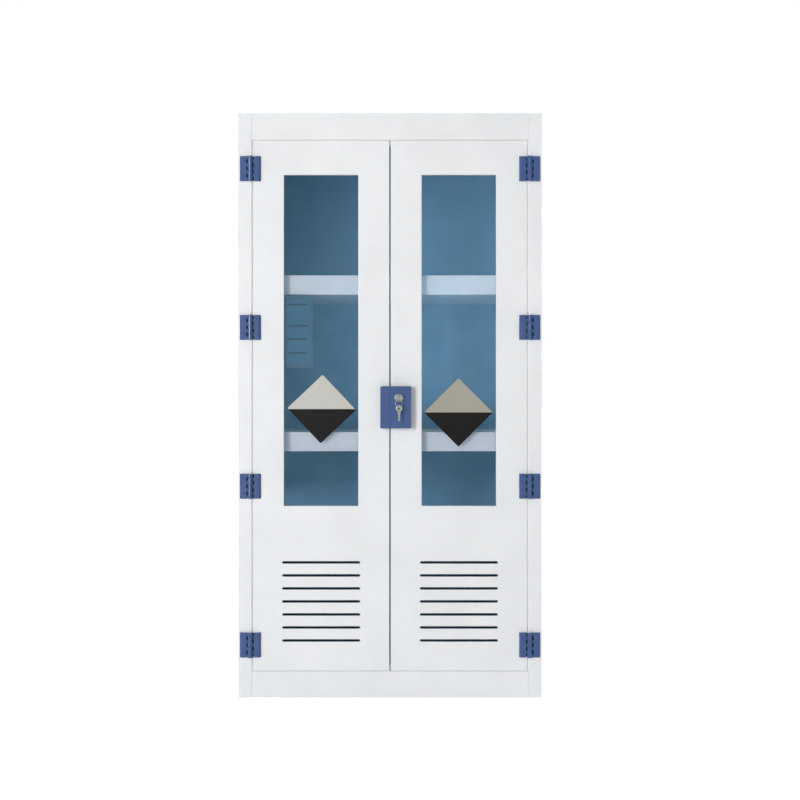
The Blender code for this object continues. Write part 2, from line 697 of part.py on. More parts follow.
def case_mesh():
    """The lock case: an open-backed shell with a bolt slot, guide ribs and a hole for the cylinder."""
    left = CASE_INNER_X
    right = CASE_INNER_X + CASE_WIDTH
    foot = LOCK_FOOT
    top = LOCK_FOOT + LOCK_HEIGHT
    inner_front = LOCK_FRONT + LOCK_WALL
    cavity = box_between(
        "case_cavity",
        (left + LOCK_WALL, inner_front, foot + LOCK_WALL),
        (right - LOCK_WALL, FRONT + CUT_OVERRUN, top - LOCK_WALL),
    )
    sweep = CAM_RADIUS + CAM_EYE_RADIUS + CAM_SWEEP_CLEARANCE
    rib_back = FRONT - SEAT_GAP
    bolt_foot = BOLT_TOP - BOLT_HEIGHT - SEAT_GAP
    root = LOCK_WALL / 2
    lower_rib = box_between(
        "lower_rib",
        (left + root, inner_front - root, bolt_foot - RIB_THICKNESS),
        (right - root, rib_back, bolt_foot),
    )
    upper_foot = BOLT_TOP + SEAT_GAP
    left_rib = box_between(
        "left_rib",
        (left + root, inner_front - root, upper_foot),
        (CYLINDER_X - sweep, rib_back, upper_foot + RIB_THICKNESS),
    )
    right_rib = box_between(
        "right_rib",
        (CYLINDER_X + sweep, inner_front - root, upper_foot),
        (right - root, rib_back, upper_foot + RIB_THICKNESS),
    )
    slot = bolt_way("case_slot", left - CUT_OVERRUN, left + LOCK_WALL + CUT_OVERRUN, SEAT_GAP)
    hole = cylinder_mesh(
        "cylinder_hole",
        CYLINDER_RADIUS + SEAT_GAP,
        -inner_front - CUT_OVERRUN,
        -LOCK_FRONT + CUT_OVERRUN,
    )
    hole.transform(UPRIGHT)
    moved(hole, CYLINDER_X, 0, CYLINDER_Z)
    steps = [
        ("DIFFERENCE", cavity),
        ("UNION", lower_rib),
        ("UNION", left_rib),
        ("UNION", right_rib),
        ("DIFFERENCE", slot),
        ("DIFFERENCE", hole),
    ]
    return combined(rounded_block("lock_case", left, right), steps)


def keeper_mesh():
    """The keeper on the other door: a block with a pocket that the bolt shoots into."""
    right = -CASE_INNER_X
    pocket_left = BOLT_TIP_X - BOLT_THROW - KEEPER_POCKET_PLAY
    pocket = bolt_way("keeper_pocket", pocket_left, right + CUT_OVERRUN, KEEPER_POCKET_PLAY)
    return combined(rounded_block("lock_keeper", right - KEEPER_WIDTH, right), [("DIFFERENCE", pocket)])


def cylinder_housing_mesh():
    """The fixed cylinder, turned about the plug's axis, its height measured forward from y zero."""
    back = -LOCK_FRONT - CYLINDER_LENGTH + CYLINDER_FLANGE
    bore = PLUG_RADIUS + PLUG_CLEARANCE
    flange_back = -LOCK_FRONT + SEAT_GAP
    front = -FLANGE_FRONT
    profile = [
        (bore, front),
        (CYLINDER_FLANGE_RADIUS - CYLINDER_CHAMFER, front),
        (CYLINDER_FLANGE_RADIUS, front - CYLINDER_CHAMFER),
        (CYLINDER_FLANGE_RADIUS, flange_back),
        (CYLINDER_RADIUS, flange_back),
        (CYLINDER_RADIUS, back),
        (bore, back),
    ]
    mesh = turned_mesh("lock_cylinder", profile, closed=True)
    mesh.transform(UPRIGHT)
    return mesh


def plug_mesh():
    """The plug about its own axis, y zero at its back: head, keyway, cam arm and drive pin."""
    length = PLUG_BACK - PLUG_HEAD_BACK
    front = length + PLUG_HEAD
    profile = [
        (0, front),
        (PLUG_HEAD_RADIUS - CYLINDER_CHAMFER, front),
        (PLUG_HEAD_RADIUS, front - CYLINDER_CHAMFER),
        (PLUG_HEAD_RADIUS, length),
        (PLUG_RADIUS, length),
        (PLUG_RADIUS, 0),
        (0, 0),
    ]
    plug = turned_mesh("lock_plug", profile)
    plug.transform(UPRIGHT)
    arm_outline = arc((0, 0), PLUG_RADIUS - SEAT_GAP, 0, 180, 2 * CORNER_STEPS)
    arm_outline += arc((0, -CAM_RADIUS), CAM_EYE_RADIUS, 180, 360, 2 * CORNER_STEPS)
    arm = sheet_mesh("cam_arm", [arm_outline], CAM_SHEET)
    moved(arm, y=-CAM_SHEET / 2)
    pin = cylinder_mesh(
        "drive_pin", DRIVE_PIN_RADIUS, CAM_SHEET / 2, CAM_SHEET + BOLT_OFF_CAM + BOLT_THICKNESS, PIN_SIDES
    )
    pin.transform(UPRIGHT)
    moved(pin, z=-CAM_RADIUS)
    cam_turn = Matrix.Rotation(-CAM_HALF_TURN, 4, "Y")
    arm.transform(cam_turn)
    pin.transform(cam_turn)
    blade_way = KEY_BLADE_LENGTH + SEAT_GAP
    keyway = box_between(
        "keyway",
        (-KEY_SHEET / 2 - KEYWAY_CLEARANCE, -front - CUT_OVERRUN, -KEY_BLADE_WIDTH / 2 - KEYWAY_CLEARANCE),
        (KEY_SHEET / 2 + KEYWAY_CLEARANCE, -front + blade_way, KEY_BLADE_WIDTH / 2 + KEYWAY_CLEARANCE),
    )
    return combined(plug, [("UNION", arm), ("UNION", pin), ("DIFFERENCE", keyway)])


def bolt_mesh():
    """The sliding bolt about its tip's middle, with an open notch in its top edge for the drive pin."""
    half = BOLT_HEIGHT / 2
    notch = DRIVE_PIN_RADIUS + DRIVE_PIN_PLAY
    notch_x = CAM_PIN_X - BOLT_TIP_X
    outline = [
        (0, -half + BOLT_CHAMFER),
        (BOLT_CHAMFER, -half),
        (BOLT_LENGTH, -half),
        (BOLT_LENGTH, half),
        (notch_x + notch, half),
        (notch_x + notch, half - BOLT_NOTCH_DEPTH),
        (notch_x - notch, half - BOLT_NOTCH_DEPTH),
        (notch_x - notch, half),
        (BOLT_CHAMFER, half),
        (0, half - BOLT_CHAMFER),
    ]
    return sheet_mesh("lock_bolt", [outline], BOLT_THICKNESS)


def key_mesh():
    """A flat key about its hole: a round bow, a shoulder, and a blade along +X with cuts in one edge."""
    shoulder = KEY_SHOULDER_WIDTH / 2
    blade = KEY_BLADE_WIDTH / 2
    start = math.degrees(math.asin(shoulder / KEY_BOW_RADIUS))
    step_x = KEY_HOLE_TO_STEP
    tip_x = step_x + KEY_BLADE_LENGTH
    outline = arc((0, 0), KEY_BOW_RADIUS, start, 360 - start, ROUND_SIDES)
    outline += [(step_x, -shoulder), (step_x, -blade)]
    cut_pitch = KEY_BLADE_LENGTH / (len(KEY_CUT_DEPTH_SHARES) + 1)
    for i, share in enumerate(KEY_CUT_DEPTH_SHARES):
        cut_x = step_x + (i + 1) * cut_pitch
        depth = KEY_DEEPEST_CUT * share
        outline.append((cut_x - cut_pitch / 2, -blade))
        outline.append((cut_x - cut_pitch / 8, -blade + depth))
        outline.append((cut_x + cut_pitch / 8, -blade + depth))
    outline += [(tip_x - cut_pitch / 2, -blade), (tip_x, 0), (tip_x - cut_pitch / 2, blade)]
    outline += [(step_x, blade), (step_x, shoulder)]
    hole = arc((0, 0), KEY_HOLE_RADIUS, 0, 360 - 360 / ROUND_SIDES, ROUND_SIDES - 1)
    mesh = sheet_mesh("key", [outline, hole], KEY_SHEET)
    mesh.transform(UPRIGHT.inverted())
    return mesh


def ring_mesh():
    """A round wire ring that hangs down from the top of its wire, turned a little from the front."""
    curve = bpy.data.curves.new("key_ring", "CURVE")
    curve.dimensions = "3D"
    curve.bevel_depth = RING_WIRE_RADIUS
    curve.bevel_resolution = 2
    spline = curve.splines.new("POLY")
    spline.points.add(ROUND_SIDES - 1)
    for i, point in enumerate(spline.points):
        angle = 2 * math.pi * i / ROUND_SIDES
        along = RING_RADIUS * math.sin(angle)
        point.co = (along * math.cos(RING_TURN), along * math.sin(RING_TURN), RING_RADIUS * math.cos(angle), 1)
    spline.use_cyclic_u = True
    obj = bpy.data.objects.new("key_ring", curve)
    CUTTERS.objects.link(obj)
    return evaluated_mesh(obj, "key_ring")


def add_lock(axes):
    add_piece("lock_keeper", keeper_mesh(), BLUE_MOULDED, parent=axes["left"], smooth=True)
    add_piece("lock_case", case_mesh(), BLUE_MOULDED, parent=axes["right"], smooth=True)
    cylinder_axis = (CYLINDER_X, 0, CYLINDER_Z)
    add_piece("lock_cylinder", cylinder_housing_mesh(), CHROME, cylinder_axis, axes["right"], smooth=True)
    plug_axis = add_axis("lock_plug_axis", (CYLINDER_X, PLUG_BACK, CYLINDER_Z), axes["right"])
    add_piece("lock_plug", plug_mesh(), CHROME, (CYLINDER_X, PLUG_BACK, CYLINDER_Z), plug_axis, smooth=True)
    bolt_place = (BOLT_TIP_X, BOLT_MIDDLE_Y, BOLT_MIDDLE_Z)
    add_piece("lock_bolt", bolt_mesh(), STEEL, bolt_place, axes["right"])

    quarter = math.radians(90)
    key = key_mesh()
    key_place = (CYLINDER_X, KEY_CENTRE_Y, CYLINDER_Z)
    ring_axis = add_axis("key_ring_axis", key_place, plug_axis)
    add_piece("lock_key", key, NICKEL, key_place, plug_axis, (quarter, 0, quarter))
    ring_place = (CYLINDER_X, KEY_CENTRE_Y, RING_CENTRE_Z)
    add_piece("key_ring", ring_mesh(), STEEL, ring_place, ring_axis, smooth=True)
    spare_place = (CYLINDER_X, KEY_CENTRE_Y, SPARE_CENTRE_Z)
    spare_axis = add_axis("spare_key_axis", spare_place, ring_axis)
    add_piece("spare_key", key, NICKEL, spare_place, spare_axis, (quarter, quarter, 0))


def main():
    add_carcass()
    add_shelves()
    axes = add_doors()
    add_hinges(axes)
    add_lock(axes)


main()
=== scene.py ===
# %% [markdown]
# # Dressing a reagent cabinet
#
# The cabinet is a tall plastic cupboard for bottles of chemicals. Each of its two doors has a
# window and a row of vent slots. Its carcass, doors, hinges, lock and shelf trays already exist as
# solids, packed as a fixed frame. This lesson gives them their finishes and adds what a solid model
# leaves out: screws, pads, sealing beads, weld beads, the split ring, round metal rims, an
# information sheet, and the diamond plates on the windows.
# Everything is in metres, in the frame's own coordinates: +X to the right, +Y to the back, +Z up.

# %% Load the frame
import json
import math

import bmesh
import bpy
from mathutils import Matrix, Vector


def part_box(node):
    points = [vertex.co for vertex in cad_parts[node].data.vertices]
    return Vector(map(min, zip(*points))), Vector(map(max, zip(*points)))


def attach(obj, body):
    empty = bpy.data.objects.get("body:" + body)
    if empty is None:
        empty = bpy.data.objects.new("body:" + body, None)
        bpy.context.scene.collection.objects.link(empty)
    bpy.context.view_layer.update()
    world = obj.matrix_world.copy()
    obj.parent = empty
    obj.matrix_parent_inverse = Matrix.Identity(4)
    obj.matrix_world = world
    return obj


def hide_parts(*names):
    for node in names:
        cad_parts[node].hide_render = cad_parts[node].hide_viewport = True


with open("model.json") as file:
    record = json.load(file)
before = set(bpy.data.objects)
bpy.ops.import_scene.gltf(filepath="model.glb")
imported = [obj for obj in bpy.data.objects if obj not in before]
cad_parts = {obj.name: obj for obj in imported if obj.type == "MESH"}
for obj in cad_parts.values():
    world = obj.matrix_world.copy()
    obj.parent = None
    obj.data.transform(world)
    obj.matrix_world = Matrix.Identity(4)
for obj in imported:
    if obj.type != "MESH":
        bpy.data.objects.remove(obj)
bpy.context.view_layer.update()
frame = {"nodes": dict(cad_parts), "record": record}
NODES = frame["nodes"]

# %% [markdown]
# ## Colours and nodes
#
# A paint card or a photograph gives a colour in sRGB, the space of screens. A shader counts light,
# so it wants linear numbers. One function turns the first into the second, and every colour in the
# lesson goes through it. Another adds one shader node with its settings and its links, and a few
# one-line helpers call it for the nodes that come up most. That keeps each material below down to
# the few lines that say what is special about it.

# %% Helpers for colours and nodes
MM_PER_METRE = 1000
NOISE_MIDDLE = (0.3, 0.7)


def linear(hex_colour):
    """A six-digit sRGB hex colour as the linear RGBA that a shader takes."""
    values = []
    for start in (0, 2, 4):
        share = int(hex_colour[start:start + 2], 16) / 255
        values.append(share / 12.92 if share <= 0.04045 else ((share + 0.055) / 1.055) ** 2.4)
    return (*values, 1.0)


def feed(tree, made, inputs):
    """Sets each named socket of a node to a value, or links it from an output socket."""
    for name, value in inputs.items():
        if isinstance(value, bpy.types.NodeSocket):
            tree.links.new(value, made.inputs[name])
        else:
            made.inputs[name].default_value = value


def node(tree, kind, inputs=None, **settings):
    """Adds a node with its settings and its inputs."""
    made = tree.nodes.new(kind)
    for name, value in settings.items():
        setattr(made, name, value)
    feed(tree, made, inputs or {})
    return made


def new_material(name):
    """An empty material with its Principled shader, its output, and the object's coordinates."""
    material = bpy.data.materials.new(name)
    material.use_nodes = True
    tree = material.node_tree
    tree.nodes.clear()
    output = node(tree, "ShaderNodeOutputMaterial")
    shader = node(tree, "ShaderNodeBsdfPrincipled")
    tree.links.new(shader.outputs["BSDF"], output.inputs["Surface"])
    place = node(tree, "ShaderNodeTexCoord").outputs["Object"]
    return material, tree, shader, place


def ramp(tree, value, stops):
    """A colour ramp between (position, hex colour) stops."""
    made = node(tree, "ShaderNodeValToRGB", {"Fac": value})
    points = made.color_ramp.elements
    while len(points) < len(stops):
        points.new(0.5)
    for point, (position, colour) in zip(points, stops):
        point.position = position
        point.color = linear(colour)
    return made.outputs["Color"]


def noise(tree, place, lump_mm, detail, distortion=0.0):
    """A noise with lumps of this size."""
    scale = MM_PER_METRE / lump_mm
    return node(tree, "ShaderNodeTexNoise", {"Vector": place, "Scale": scale, "Detail": detail,
                                             "Distortion": distortion}).outputs["Fac"]


def stretch(tree, place, shares):
    """The same coordinates, slowed along the axes whose share is small."""
    return node(tree, "ShaderNodeMapping", {"Vector": place, "Scale": shares}).outputs["Vector"]


def bump(tree, relief, strength, depth_mm, **under):
    """The normals of a surface with this relief, if need be on top of another bump's Normal."""
    return node(tree, "ShaderNodeBump", {"Height": relief, "Strength": strength,
                                         "Distance": depth_mm / MM_PER_METRE,
                                         **under}).outputs["Normal"]


def change_range(tree, value, old_span, new_span, **settings):
    """Maps one span onto another, and holds whatever lies outside it at the ends."""
    made = node(tree, "ShaderNodeMapRange", {"Value": value, "From Min": old_span[0],
                                             "From Max": old_span[1], "To Min": new_span[0],
                                             "To Max": new_span[1]}, **settings)
    return made.outputs["Result"]


def spread(tree, value, low, high):
    """Stretches a noise's middle part, where most of it lies, to the span from low to high."""
    return change_range(tree, value, NOISE_MIDDLE, (low, high))


def maths(tree, operation, *values):
    """One sum on numbers or on output sockets."""
    made = node(tree, "ShaderNodeMath", dict(enumerate(values)), operation=operation)
    return made.outputs["Value"]


print("white sheet in linear light:", [round(c, 3) for c in linear("E8EAEB")])

# %% [markdown]
# ## White polypropylene sheet
#
# The carcass, the doors and the shelf trays are extruded polypropylene sheet. It leaves the rolls
# with a satin skin: milky, slightly cool, with a soft broad highlight and a faint ripple. A plain
# white would look like paper, so two noises are used. A slow one clouds the colour a little and
# changes the gloss, and a fine one gives the skin its orange-peel bump. The back panel is the same
# sheet dyed blue, and it is what shows behind the windows and through the slots.

# %% Make the sheet materials
def sheet_material(name, stops, roughness, ripple_mm):
    """Extruded sheet: clouded colour, uneven satin gloss, and a bump of ripple and orange peel."""
    material, tree, shader, place = new_material(name)
    clouds = noise(tree, place, lump_mm=160, detail=4.0)
    slow = noise(tree, place, lump_mm=45, detail=1.0)
    fine = noise(tree, place, lump_mm=3, detail=3.0)
    ripple = bump(tree, slow, strength=0.25, depth_mm=ripple_mm)
    peel = bump(tree, fine, strength=0.12, depth_mm=ripple_mm / 5, Normal=ripple)
    feed(tree, shader, {"Base Color": ramp(tree, clouds, stops), "IOR": 1.49, "Normal": peel,
                        "Roughness": spread(tree, clouds, *roughness)})
    return material


white_sheet = sheet_material("satin_white_polypropylene_sheet",
                             [(0.30, "E5E7E8"), (0.50, "E8EAEB"), (0.70, "EBEDEE")],
                             roughness=(0.36, 0.48), ripple_mm=0.8)
blue_sheet = sheet_material("satin_blue_polypropylene_sheet",
                            [(0.30, "3E789F"), (0.50, "407AA1"), (0.70, "427DA4")],
                            roughness=(0.40, 0.46), ripple_mm=0.8)
print("made", white_sheet.name, "and", blue_sheet.name)

# %% [markdown]
# ## Moulded blue hinges and lock
#
# The hinges and the lock body are injection moulded and dyed through. The mould was spark eroded,
# which leaves a fine pitted grain of under half a millimetre: the highlight breaks up softly, and
# the rounded edges catch it as a lighter line. Faint flow marks run through the colour. They are
# kept weak, because on a flat lock a stronger change of gloss would read as stains.

# %% Make the moulded blue
def moulded_material(name, stops, grain_mm):
    """Injection-moulded plastic: flow marks in the colour and a spark-eroded grain."""
    material, tree, shader, place = new_material(name)
    flow = noise(tree, place, lump_mm=40, detail=2.0, distortion=0.6)
    pits = node(tree, "ShaderNodeTexVoronoi", {"Vector": place, "Scale": MM_PER_METRE / grain_mm})
    feed(tree, shader, {"Base Color": ramp(tree, flow, stops), "IOR": 1.50,
                        "Roughness": spread(tree, flow, 0.28, 0.30),
                        "Normal": bump(tree, pits.outputs["Distance"], strength=0.10,
                                       depth_mm=grain_mm / 4)})
    return material


blue_moulding = moulded_material("spark_eroded_blue_moulding",
                                 [(0.20, "3B5586"), (0.50, "3C5688"), (0.80, "3D578A")],
                                 grain_mm=0.45)
print("made", blue_moulding.name)

# %% [markdown]
# ## Clear panes
#
# The windows are clear sheet, 4 mm thick, with a very thin metal coating, as on sun-control panes.
# It mirrors the room in blue, so the dark inside of the cabinet seems blue, and it still lets most
# of the light through, so the white shelf edges close behind stay white. Glass with its
# transmission up would bend the lamps' light and keep it from the shelves. A thin coating bends
# nothing, so each face is a blue metal mirror whose alpha says how much of it is there. Cast sheet
# is not quite flat, so a slow bump keeps the reflections from being ruler straight, and fine smears
# vary the gloss.

# %% Make the pane
def pane_material(name, mirror_stops, cover):
    """A thin blue mirror coating that covers this share of the view, on each face of a pane."""
    material, tree, shader, place = new_material(name)
    smears = noise(tree, place, lump_mm=60, detail=5.0)
    wave = noise(tree, place, lump_mm=220, detail=1.0)
    feed(tree, shader, {"Base Color": ramp(tree, smears, mirror_stops), "Metallic": 1.0,
                        "Alpha": cover, "Roughness": spread(tree, smears, 0.03, 0.08),
                        "Normal": bump(tree, wave, strength=0.15, depth_mm=2)})
    return material


clear_pane = pane_material("blue_coated_clear_sheet", [(0.35, "8CC8F2"), (0.65, "98D2FA")],
                           cover=0.15)
print("made", clear_pane.name)

# %% [markdown]
# ## Metals
#
# The lock cylinder is chromed, the keys are nickelled brass, and the pins, screws, bolt and ring
# are plain steel. All three are metals, so they mirror the room: what tells them apart is the tint
# and how much the mirror is blurred. Turning, blanking and years on a key ring leave fine
# scratches, so the roughness of each follows a noise that is stretched in one direction.

# %% Make the metals
def metal_material(name, stops, roughness, scratch_mm):
    """A metal whose gloss is broken by fine scratches that run along X."""
    material, tree, shader, place = new_material(name)
    along_x = stretch(tree, place, (0.08, 1.0, 1.0))
    scratches = noise(tree, along_x, lump_mm=scratch_mm, detail=4.0)
    tone = noise(tree, place, lump_mm=6, detail=2.0)
    feed(tree, shader, {"Base Color": ramp(tree, tone, stops), "Metallic": 1.0,
                        "Roughness": spread(tree, scratches, *roughness),
                        "Normal": bump(tree, scratches, strength=0.08, depth_mm=scratch_mm / 5)})
    return material


chrome = metal_material("polished_chrome_plate", [(0.30, "A9ACB1"), (0.70, "B9BBC0")],
                        roughness=(0.08, 0.16), scratch_mm=0.4)
steel = metal_material("bright_drawn_steel", [(0.30, "B9BBBE"), (0.70, "C6C8CA")],
                       roughness=(0.22, 0.36), scratch_mm=0.5)
key_metal = metal_material("nickelled_brass", [(0.30, "ACAAA3"), (0.70, "BEBCB6")],
                           roughness=(0.14, 0.24), scratch_mm=0.5)
print("made", chrome.name, steel.name, "and", key_metal.name)

# %% [markdown]
# ## Dress the solids
#
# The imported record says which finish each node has. A table from the record's slot to the material
# above dresses them all, so no node can be forgotten.

# %% Give every node its material
FINISHES = {
    "white_sheet": white_sheet,
    "blue_sheet": blue_sheet,
    "blue_fittings": blue_moulding,
    "pane": clear_pane,
    "chrome": chrome,
    "steel": steel,
    "key_metal": key_metal,
}
for part in frame["record"]["subparts"]:
    solid = NODES[part["node"]]
    solid.data.materials.clear()
    solid.data.materials.append(FINISHES[part["material_slot"]])
print("dressed", len(NODES), "nodes in", len(FINISHES), "finishes")

# %% [markdown]
# ## Modelling tools
#
# New pieces are modelled as by hand, with Blender's own operators. An operator works on whatever is
# selected, so each piece starts from nothing selected, and faces are picked by a test on their
# middle and their normal. When a piece is finished its place goes into its mesh.

# %% Helpers for modelling
STRAIGHT = 0.9
MERGE_DISTANCE = 0.00001
# Faces that meet at less than this many degrees are shaded as one surface.
CRISP, SOFT, ROUND = 40, 50, 60


def start(operator, name, **settings):
    """Adds a primitive with nothing else selected, and names it."""
    bpy.ops.object.select_all(action="DESELECT")
    operator(**settings)
    piece = bpy.context.object
    piece.name = name
    piece.data.name = name
    bpy.ops.object.transform_apply(location=True, rotation=True, scale=True)
    return piece


def only(piece):
    """Makes this piece the active and only selected one."""
    bpy.ops.object.select_all(action="DESELECT")
    piece.select_set(True)
    bpy.context.view_layer.objects.active = piece


def edit(piece, mode, action):
    """Goes to edit mode on this piece alone, with all or nothing of it selected."""
    only(piece)
    bpy.ops.object.mode_set(mode="EDIT")
    bpy.ops.mesh.select_mode(type=mode)
    bpy.ops.mesh.select_all(action=action)
    return bmesh.from_edit_mesh(piece.data)


def pick_faces(piece, wanted):
    """Goes to edit mode with the faces selected whose middle and normal pass the test."""
    for face in edit(piece, "FACE", "DESELECT").faces:
        face.select_set(bool(wanted(face.calc_center_median(), face.normal)))
    bmesh.update_edit_mesh(piece.data)


def pick_edges(piece, wanted):
    """Goes to edit mode with the edges selected whose two ends pass the test."""
    for edge in edit(piece, "EDGE", "DESELECT").edges:
        edge.select_set(bool(wanted(edge.verts[0].co, edge.verts[1].co)))
    bmesh.update_edit_mesh(piece.data)


def done_editing():
    """Turns all the normals outward and leaves edit mode."""
    bpy.ops.mesh.select_all(action="SELECT")
    bpy.ops.mesh.normals_make_consistent(inside=False)
    bpy.ops.object.mode_set(mode="OBJECT")


def close_ends(piece):
    """Fills the open ends of a tube."""
    edit(piece, "EDGE", "SELECT")
    bpy.ops.mesh.fill_holes(sides=0)
    done_editing()


def cut_away(piece, cutter):
    """Subtracts the cutter from the piece and removes it."""
    only(piece)
    modifier = piece.modifiers.new("cut", "BOOLEAN")
    modifier.operation = "DIFFERENCE"
    modifier.solver = "EXACT"
    modifier.object = cutter
    bpy.ops.object.modifier_apply(modifier="cut")
    bpy.data.objects.remove(cutter, do_unlink=True)


def placed(piece, matrix):
    """Moves the mesh and not the object, so the object's own place stays the origin."""
    piece.data.transform(matrix)
    piece.data.update()
    return piece


def copy_at(model, name, matrix):
    """A copy with its own mesh, its place in that mesh."""
    copy = model.copy()
    copy.data = model.data.copy()
    copy.name = name
    copy.data.name = name
    bpy.context.scene.collection.objects.link(copy)
    return placed(copy, matrix)


def finish_piece(piece, material, body, smooth_degrees=None):
    """Gives the piece its finish and fastens it to a body of the frame."""
    piece.data.materials.clear()
    piece.data.materials.append(material)
    if smooth_degrees:
        only(piece)
        bpy.ops.object.shade_smooth_by_angle(angle=math.radians(smooth_degrees))
    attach(piece, body)


def block(name, low, high):
    """A plain block between two corners, to be shaped further."""
    size = [h - l for l, h in zip(low, high)]
    middle = [(l + h) / 2 for l, h in zip(low, high)]
    return start(bpy.ops.mesh.primitive_cube_add, name, size=1, location=middle, scale=size)


def round_edges(piece, axis, radius, segments, wanted=lambda point: True):
    """Bevels the edges that run along an axis, where their middle passes the test."""
    def runs_along(a, b):
        direction = (b - a).normalized()
        return abs(direction["XYZ".index(axis)]) > STRAIGHT and wanted((a + b) / 2)
    pick_edges(piece, runs_along)
    bpy.ops.mesh.bevel(offset=radius, segments=segments)
    done_editing()
    return piece


def turned(degrees, axis):
    """A turn about one axis through the origin."""
    return Matrix.Rotation(math.radians(degrees), 4, axis)


FACING_FRONT = turned(90, "X")
FACING_BACK = turned(-90, "X")
FACING_LEFT = turned(-90, "Y")
FACING_RIGHT = turned(90, "Y")
print("a piece modelled facing up is turned to face the front:", FACING_FRONT @ Vector((0, 0, 1)))

# %% [markdown]
# ## Screws
#
# Each hinge leaf is held by two screws of the hinge's own blue plastic, since steel would rust in
# the fumes. A screw could be a plain disc, but a close look shows the stepped dome and the cross
# recess. One is modelled facing up: a disc, its top inset and raised twice, and a cross cut out by
# two tapered blocks. All the rest are copies of it.

# %% Model one screw head
SCREW_RADIUS = 0.0034
SCREW_RISE = 0.0011
SCREW_SIDES = 24
RIM_SHARES = (0.22, 0.45)
STEP_SHARES = (0.28, 0.15)
RECESS_WIDTH_SHARE = 0.22
RECESS_TAPER = 0.7
RECESS_MIDDLE_SHARE = 1.4
RECESS_HEIGHT_SHARE = 1.6


def screw_head(name, radius, rise):
    """A low domed head with a cross recess, facing up, its rim's middle at z zero."""
    head = start(bpy.ops.mesh.primitive_cylinder_add, name, vertices=SCREW_SIDES,
                 radius=radius, depth=2 * rise)
    pick_faces(head, lambda middle, normal: normal.z > STRAIGHT)
    for inset_share, rise_share in (RIM_SHARES, STEP_SHARES):
        bpy.ops.mesh.inset(thickness=radius * inset_share, depth=rise * rise_share)
    done_editing()
    cross = start(bpy.ops.mesh.primitive_cube_add, "cross", size=1,
                  location=(0, 0, rise * RECESS_MIDDLE_SHARE),
                  scale=(radius, radius * RECESS_WIDTH_SHARE, rise * RECESS_HEIGHT_SHARE))
    pick_faces(cross, lambda middle, normal: abs(normal.x) > STRAIGHT)
    bpy.ops.transform.resize(value=(1, RECESS_TAPER, 1))
    done_editing()
    other = copy_at(cross, "cross_arm", turned(90, "Z"))
    cut_away(head, cross)
    cut_away(head, other)
    return head


screw = screw_head("screw_model", SCREW_RADIUS, SCREW_RISE)
print("one screw:", len(screw.data.polygons), "faces")

# %% [markdown]
# ## Screws on the hinges
#
# Every leaf has one screw above and one below its middle, on the side away from the knuckles. A
# fitter stops each screw where it is tight, so each copy is turned a little further than the last.

# %% Put the screws on the hinges
SCREW_FROM_AXIS = 0.0215
SCREW_HALF_PITCH = 0.0225
LEAF_FRONT_BEHIND_AXIS = 0.0007
HINGE_SCREW_TURN = 37
HINGES = range(1, 5)
SIDES = (("left", -1), ("right", 1))


def middle_of(name):
    """The middle of a node's box."""
    low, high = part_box(name)
    return (low + high) / 2


screws = 0
for side, sign in SIDES:
    for number in HINGES:
        pin = middle_of(f"{side}_hinge_pin_{number}")
        for leaf, body, outward in (("frame_leaf", "root", 1), ("door_leaf", f"{side}_door", -1)):
            x = pin.x + sign * outward * SCREW_FROM_AXIS
            leaf_front = pin.y + LEAF_FRONT_BEHIND_AXIS
            for end, up in (("upper", 1), ("lower", -1)):
                place = Matrix.Translation((x, leaf_front, pin.z + up * SCREW_HALF_PITCH))
                twist = turned(HINGE_SCREW_TURN * screws, "Y")
                piece = copy_at(screw, f"{side}_{leaf}_{number}_{end}_screw",
                                place @ twist @ FACING_FRONT)
                finish_piece(piece, blue_moulding, body, CRISP)
                screws += 1
print("placed", screws, "hinge screws")

# %% [markdown]
# ## Dark pads under the hinge leaves: painted shade
#
# Where the knuckles of one leaf turn, the other leaf has notches. Their dark is painted shade: what
# shows through them is not the white sheet but a dark pad bedded under each leaf, so the notches
# read as a row of dark teeth. A pad is a thin sheet with rounded corners, a little smaller than its
# leaf, and reaches a little way up into the notches. Rubber is dull, so this painted shade has no
# highlight beside the glossier blue.

# %% Make the navy rubber of painted shade and lay the pads
def painted_shade_rubber_material(name, stops):
    """Dull rubber, nearly black as painted shade, with a dusty unevenness."""
    material, tree, shader, place = new_material(name)
    dust = noise(tree, place, lump_mm=4, detail=4.0)
    feed(tree, shader, {"Base Color": ramp(tree, dust, stops), "IOR": 1.52,
                        "Roughness": spread(tree, dust, 0.55, 0.75)})
    return material


# The navy rubber's near-black is painted shade: the notches it fills are only in shade.
navy_painted_shade_rubber = painted_shade_rubber_material("navy_rubber_painted_shade", [(0.35, "0F1630"), (0.65, "161F3C")])
PAD_INSET = 0.0015
PAD_CORNER = 0.002
PAD_UP_INTO_LEAF = 0.0008
PAD_PAST_LEAF = 0.0002
PAD_PAST_AXIS = {"frame_leaf": 0.0030, "door_leaf": 0.0080}
pads = 0
for side, sign in SIDES:
    for number in HINGES:
        pin_x = middle_of(f"{side}_hinge_pin_{number}").x
        for leaf, body, outward in (("frame_leaf", "root", 1), ("door_leaf", f"{side}_door", -1)):
            leaf_low, leaf_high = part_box(f"{side}_{leaf}_{number}")
            away = sign * outward
            free = (leaf_low.x if away < 0 else leaf_high.x) - away * PAD_INSET
            inner = pin_x + away * PAD_PAST_AXIS[leaf]
            front, back = leaf_high.y - PAD_UP_INTO_LEAF, leaf_high.y + PAD_PAST_LEAF
            # Each pad is a dark sheet of painted shade behind its leaf's notches.
            shade_pad = block(f"{side}_{leaf}_{number}_pad",
                        (min(free, inner), front, leaf_low.z + PAD_INSET),
                        (max(free, inner), back, leaf_high.z - PAD_INSET))
            round_edges(shade_pad, "Y", PAD_CORNER, 2)
            finish_piece(shade_pad, navy_painted_shade_rubber, body)
            pads += 1
print("laid", pads, "pads")

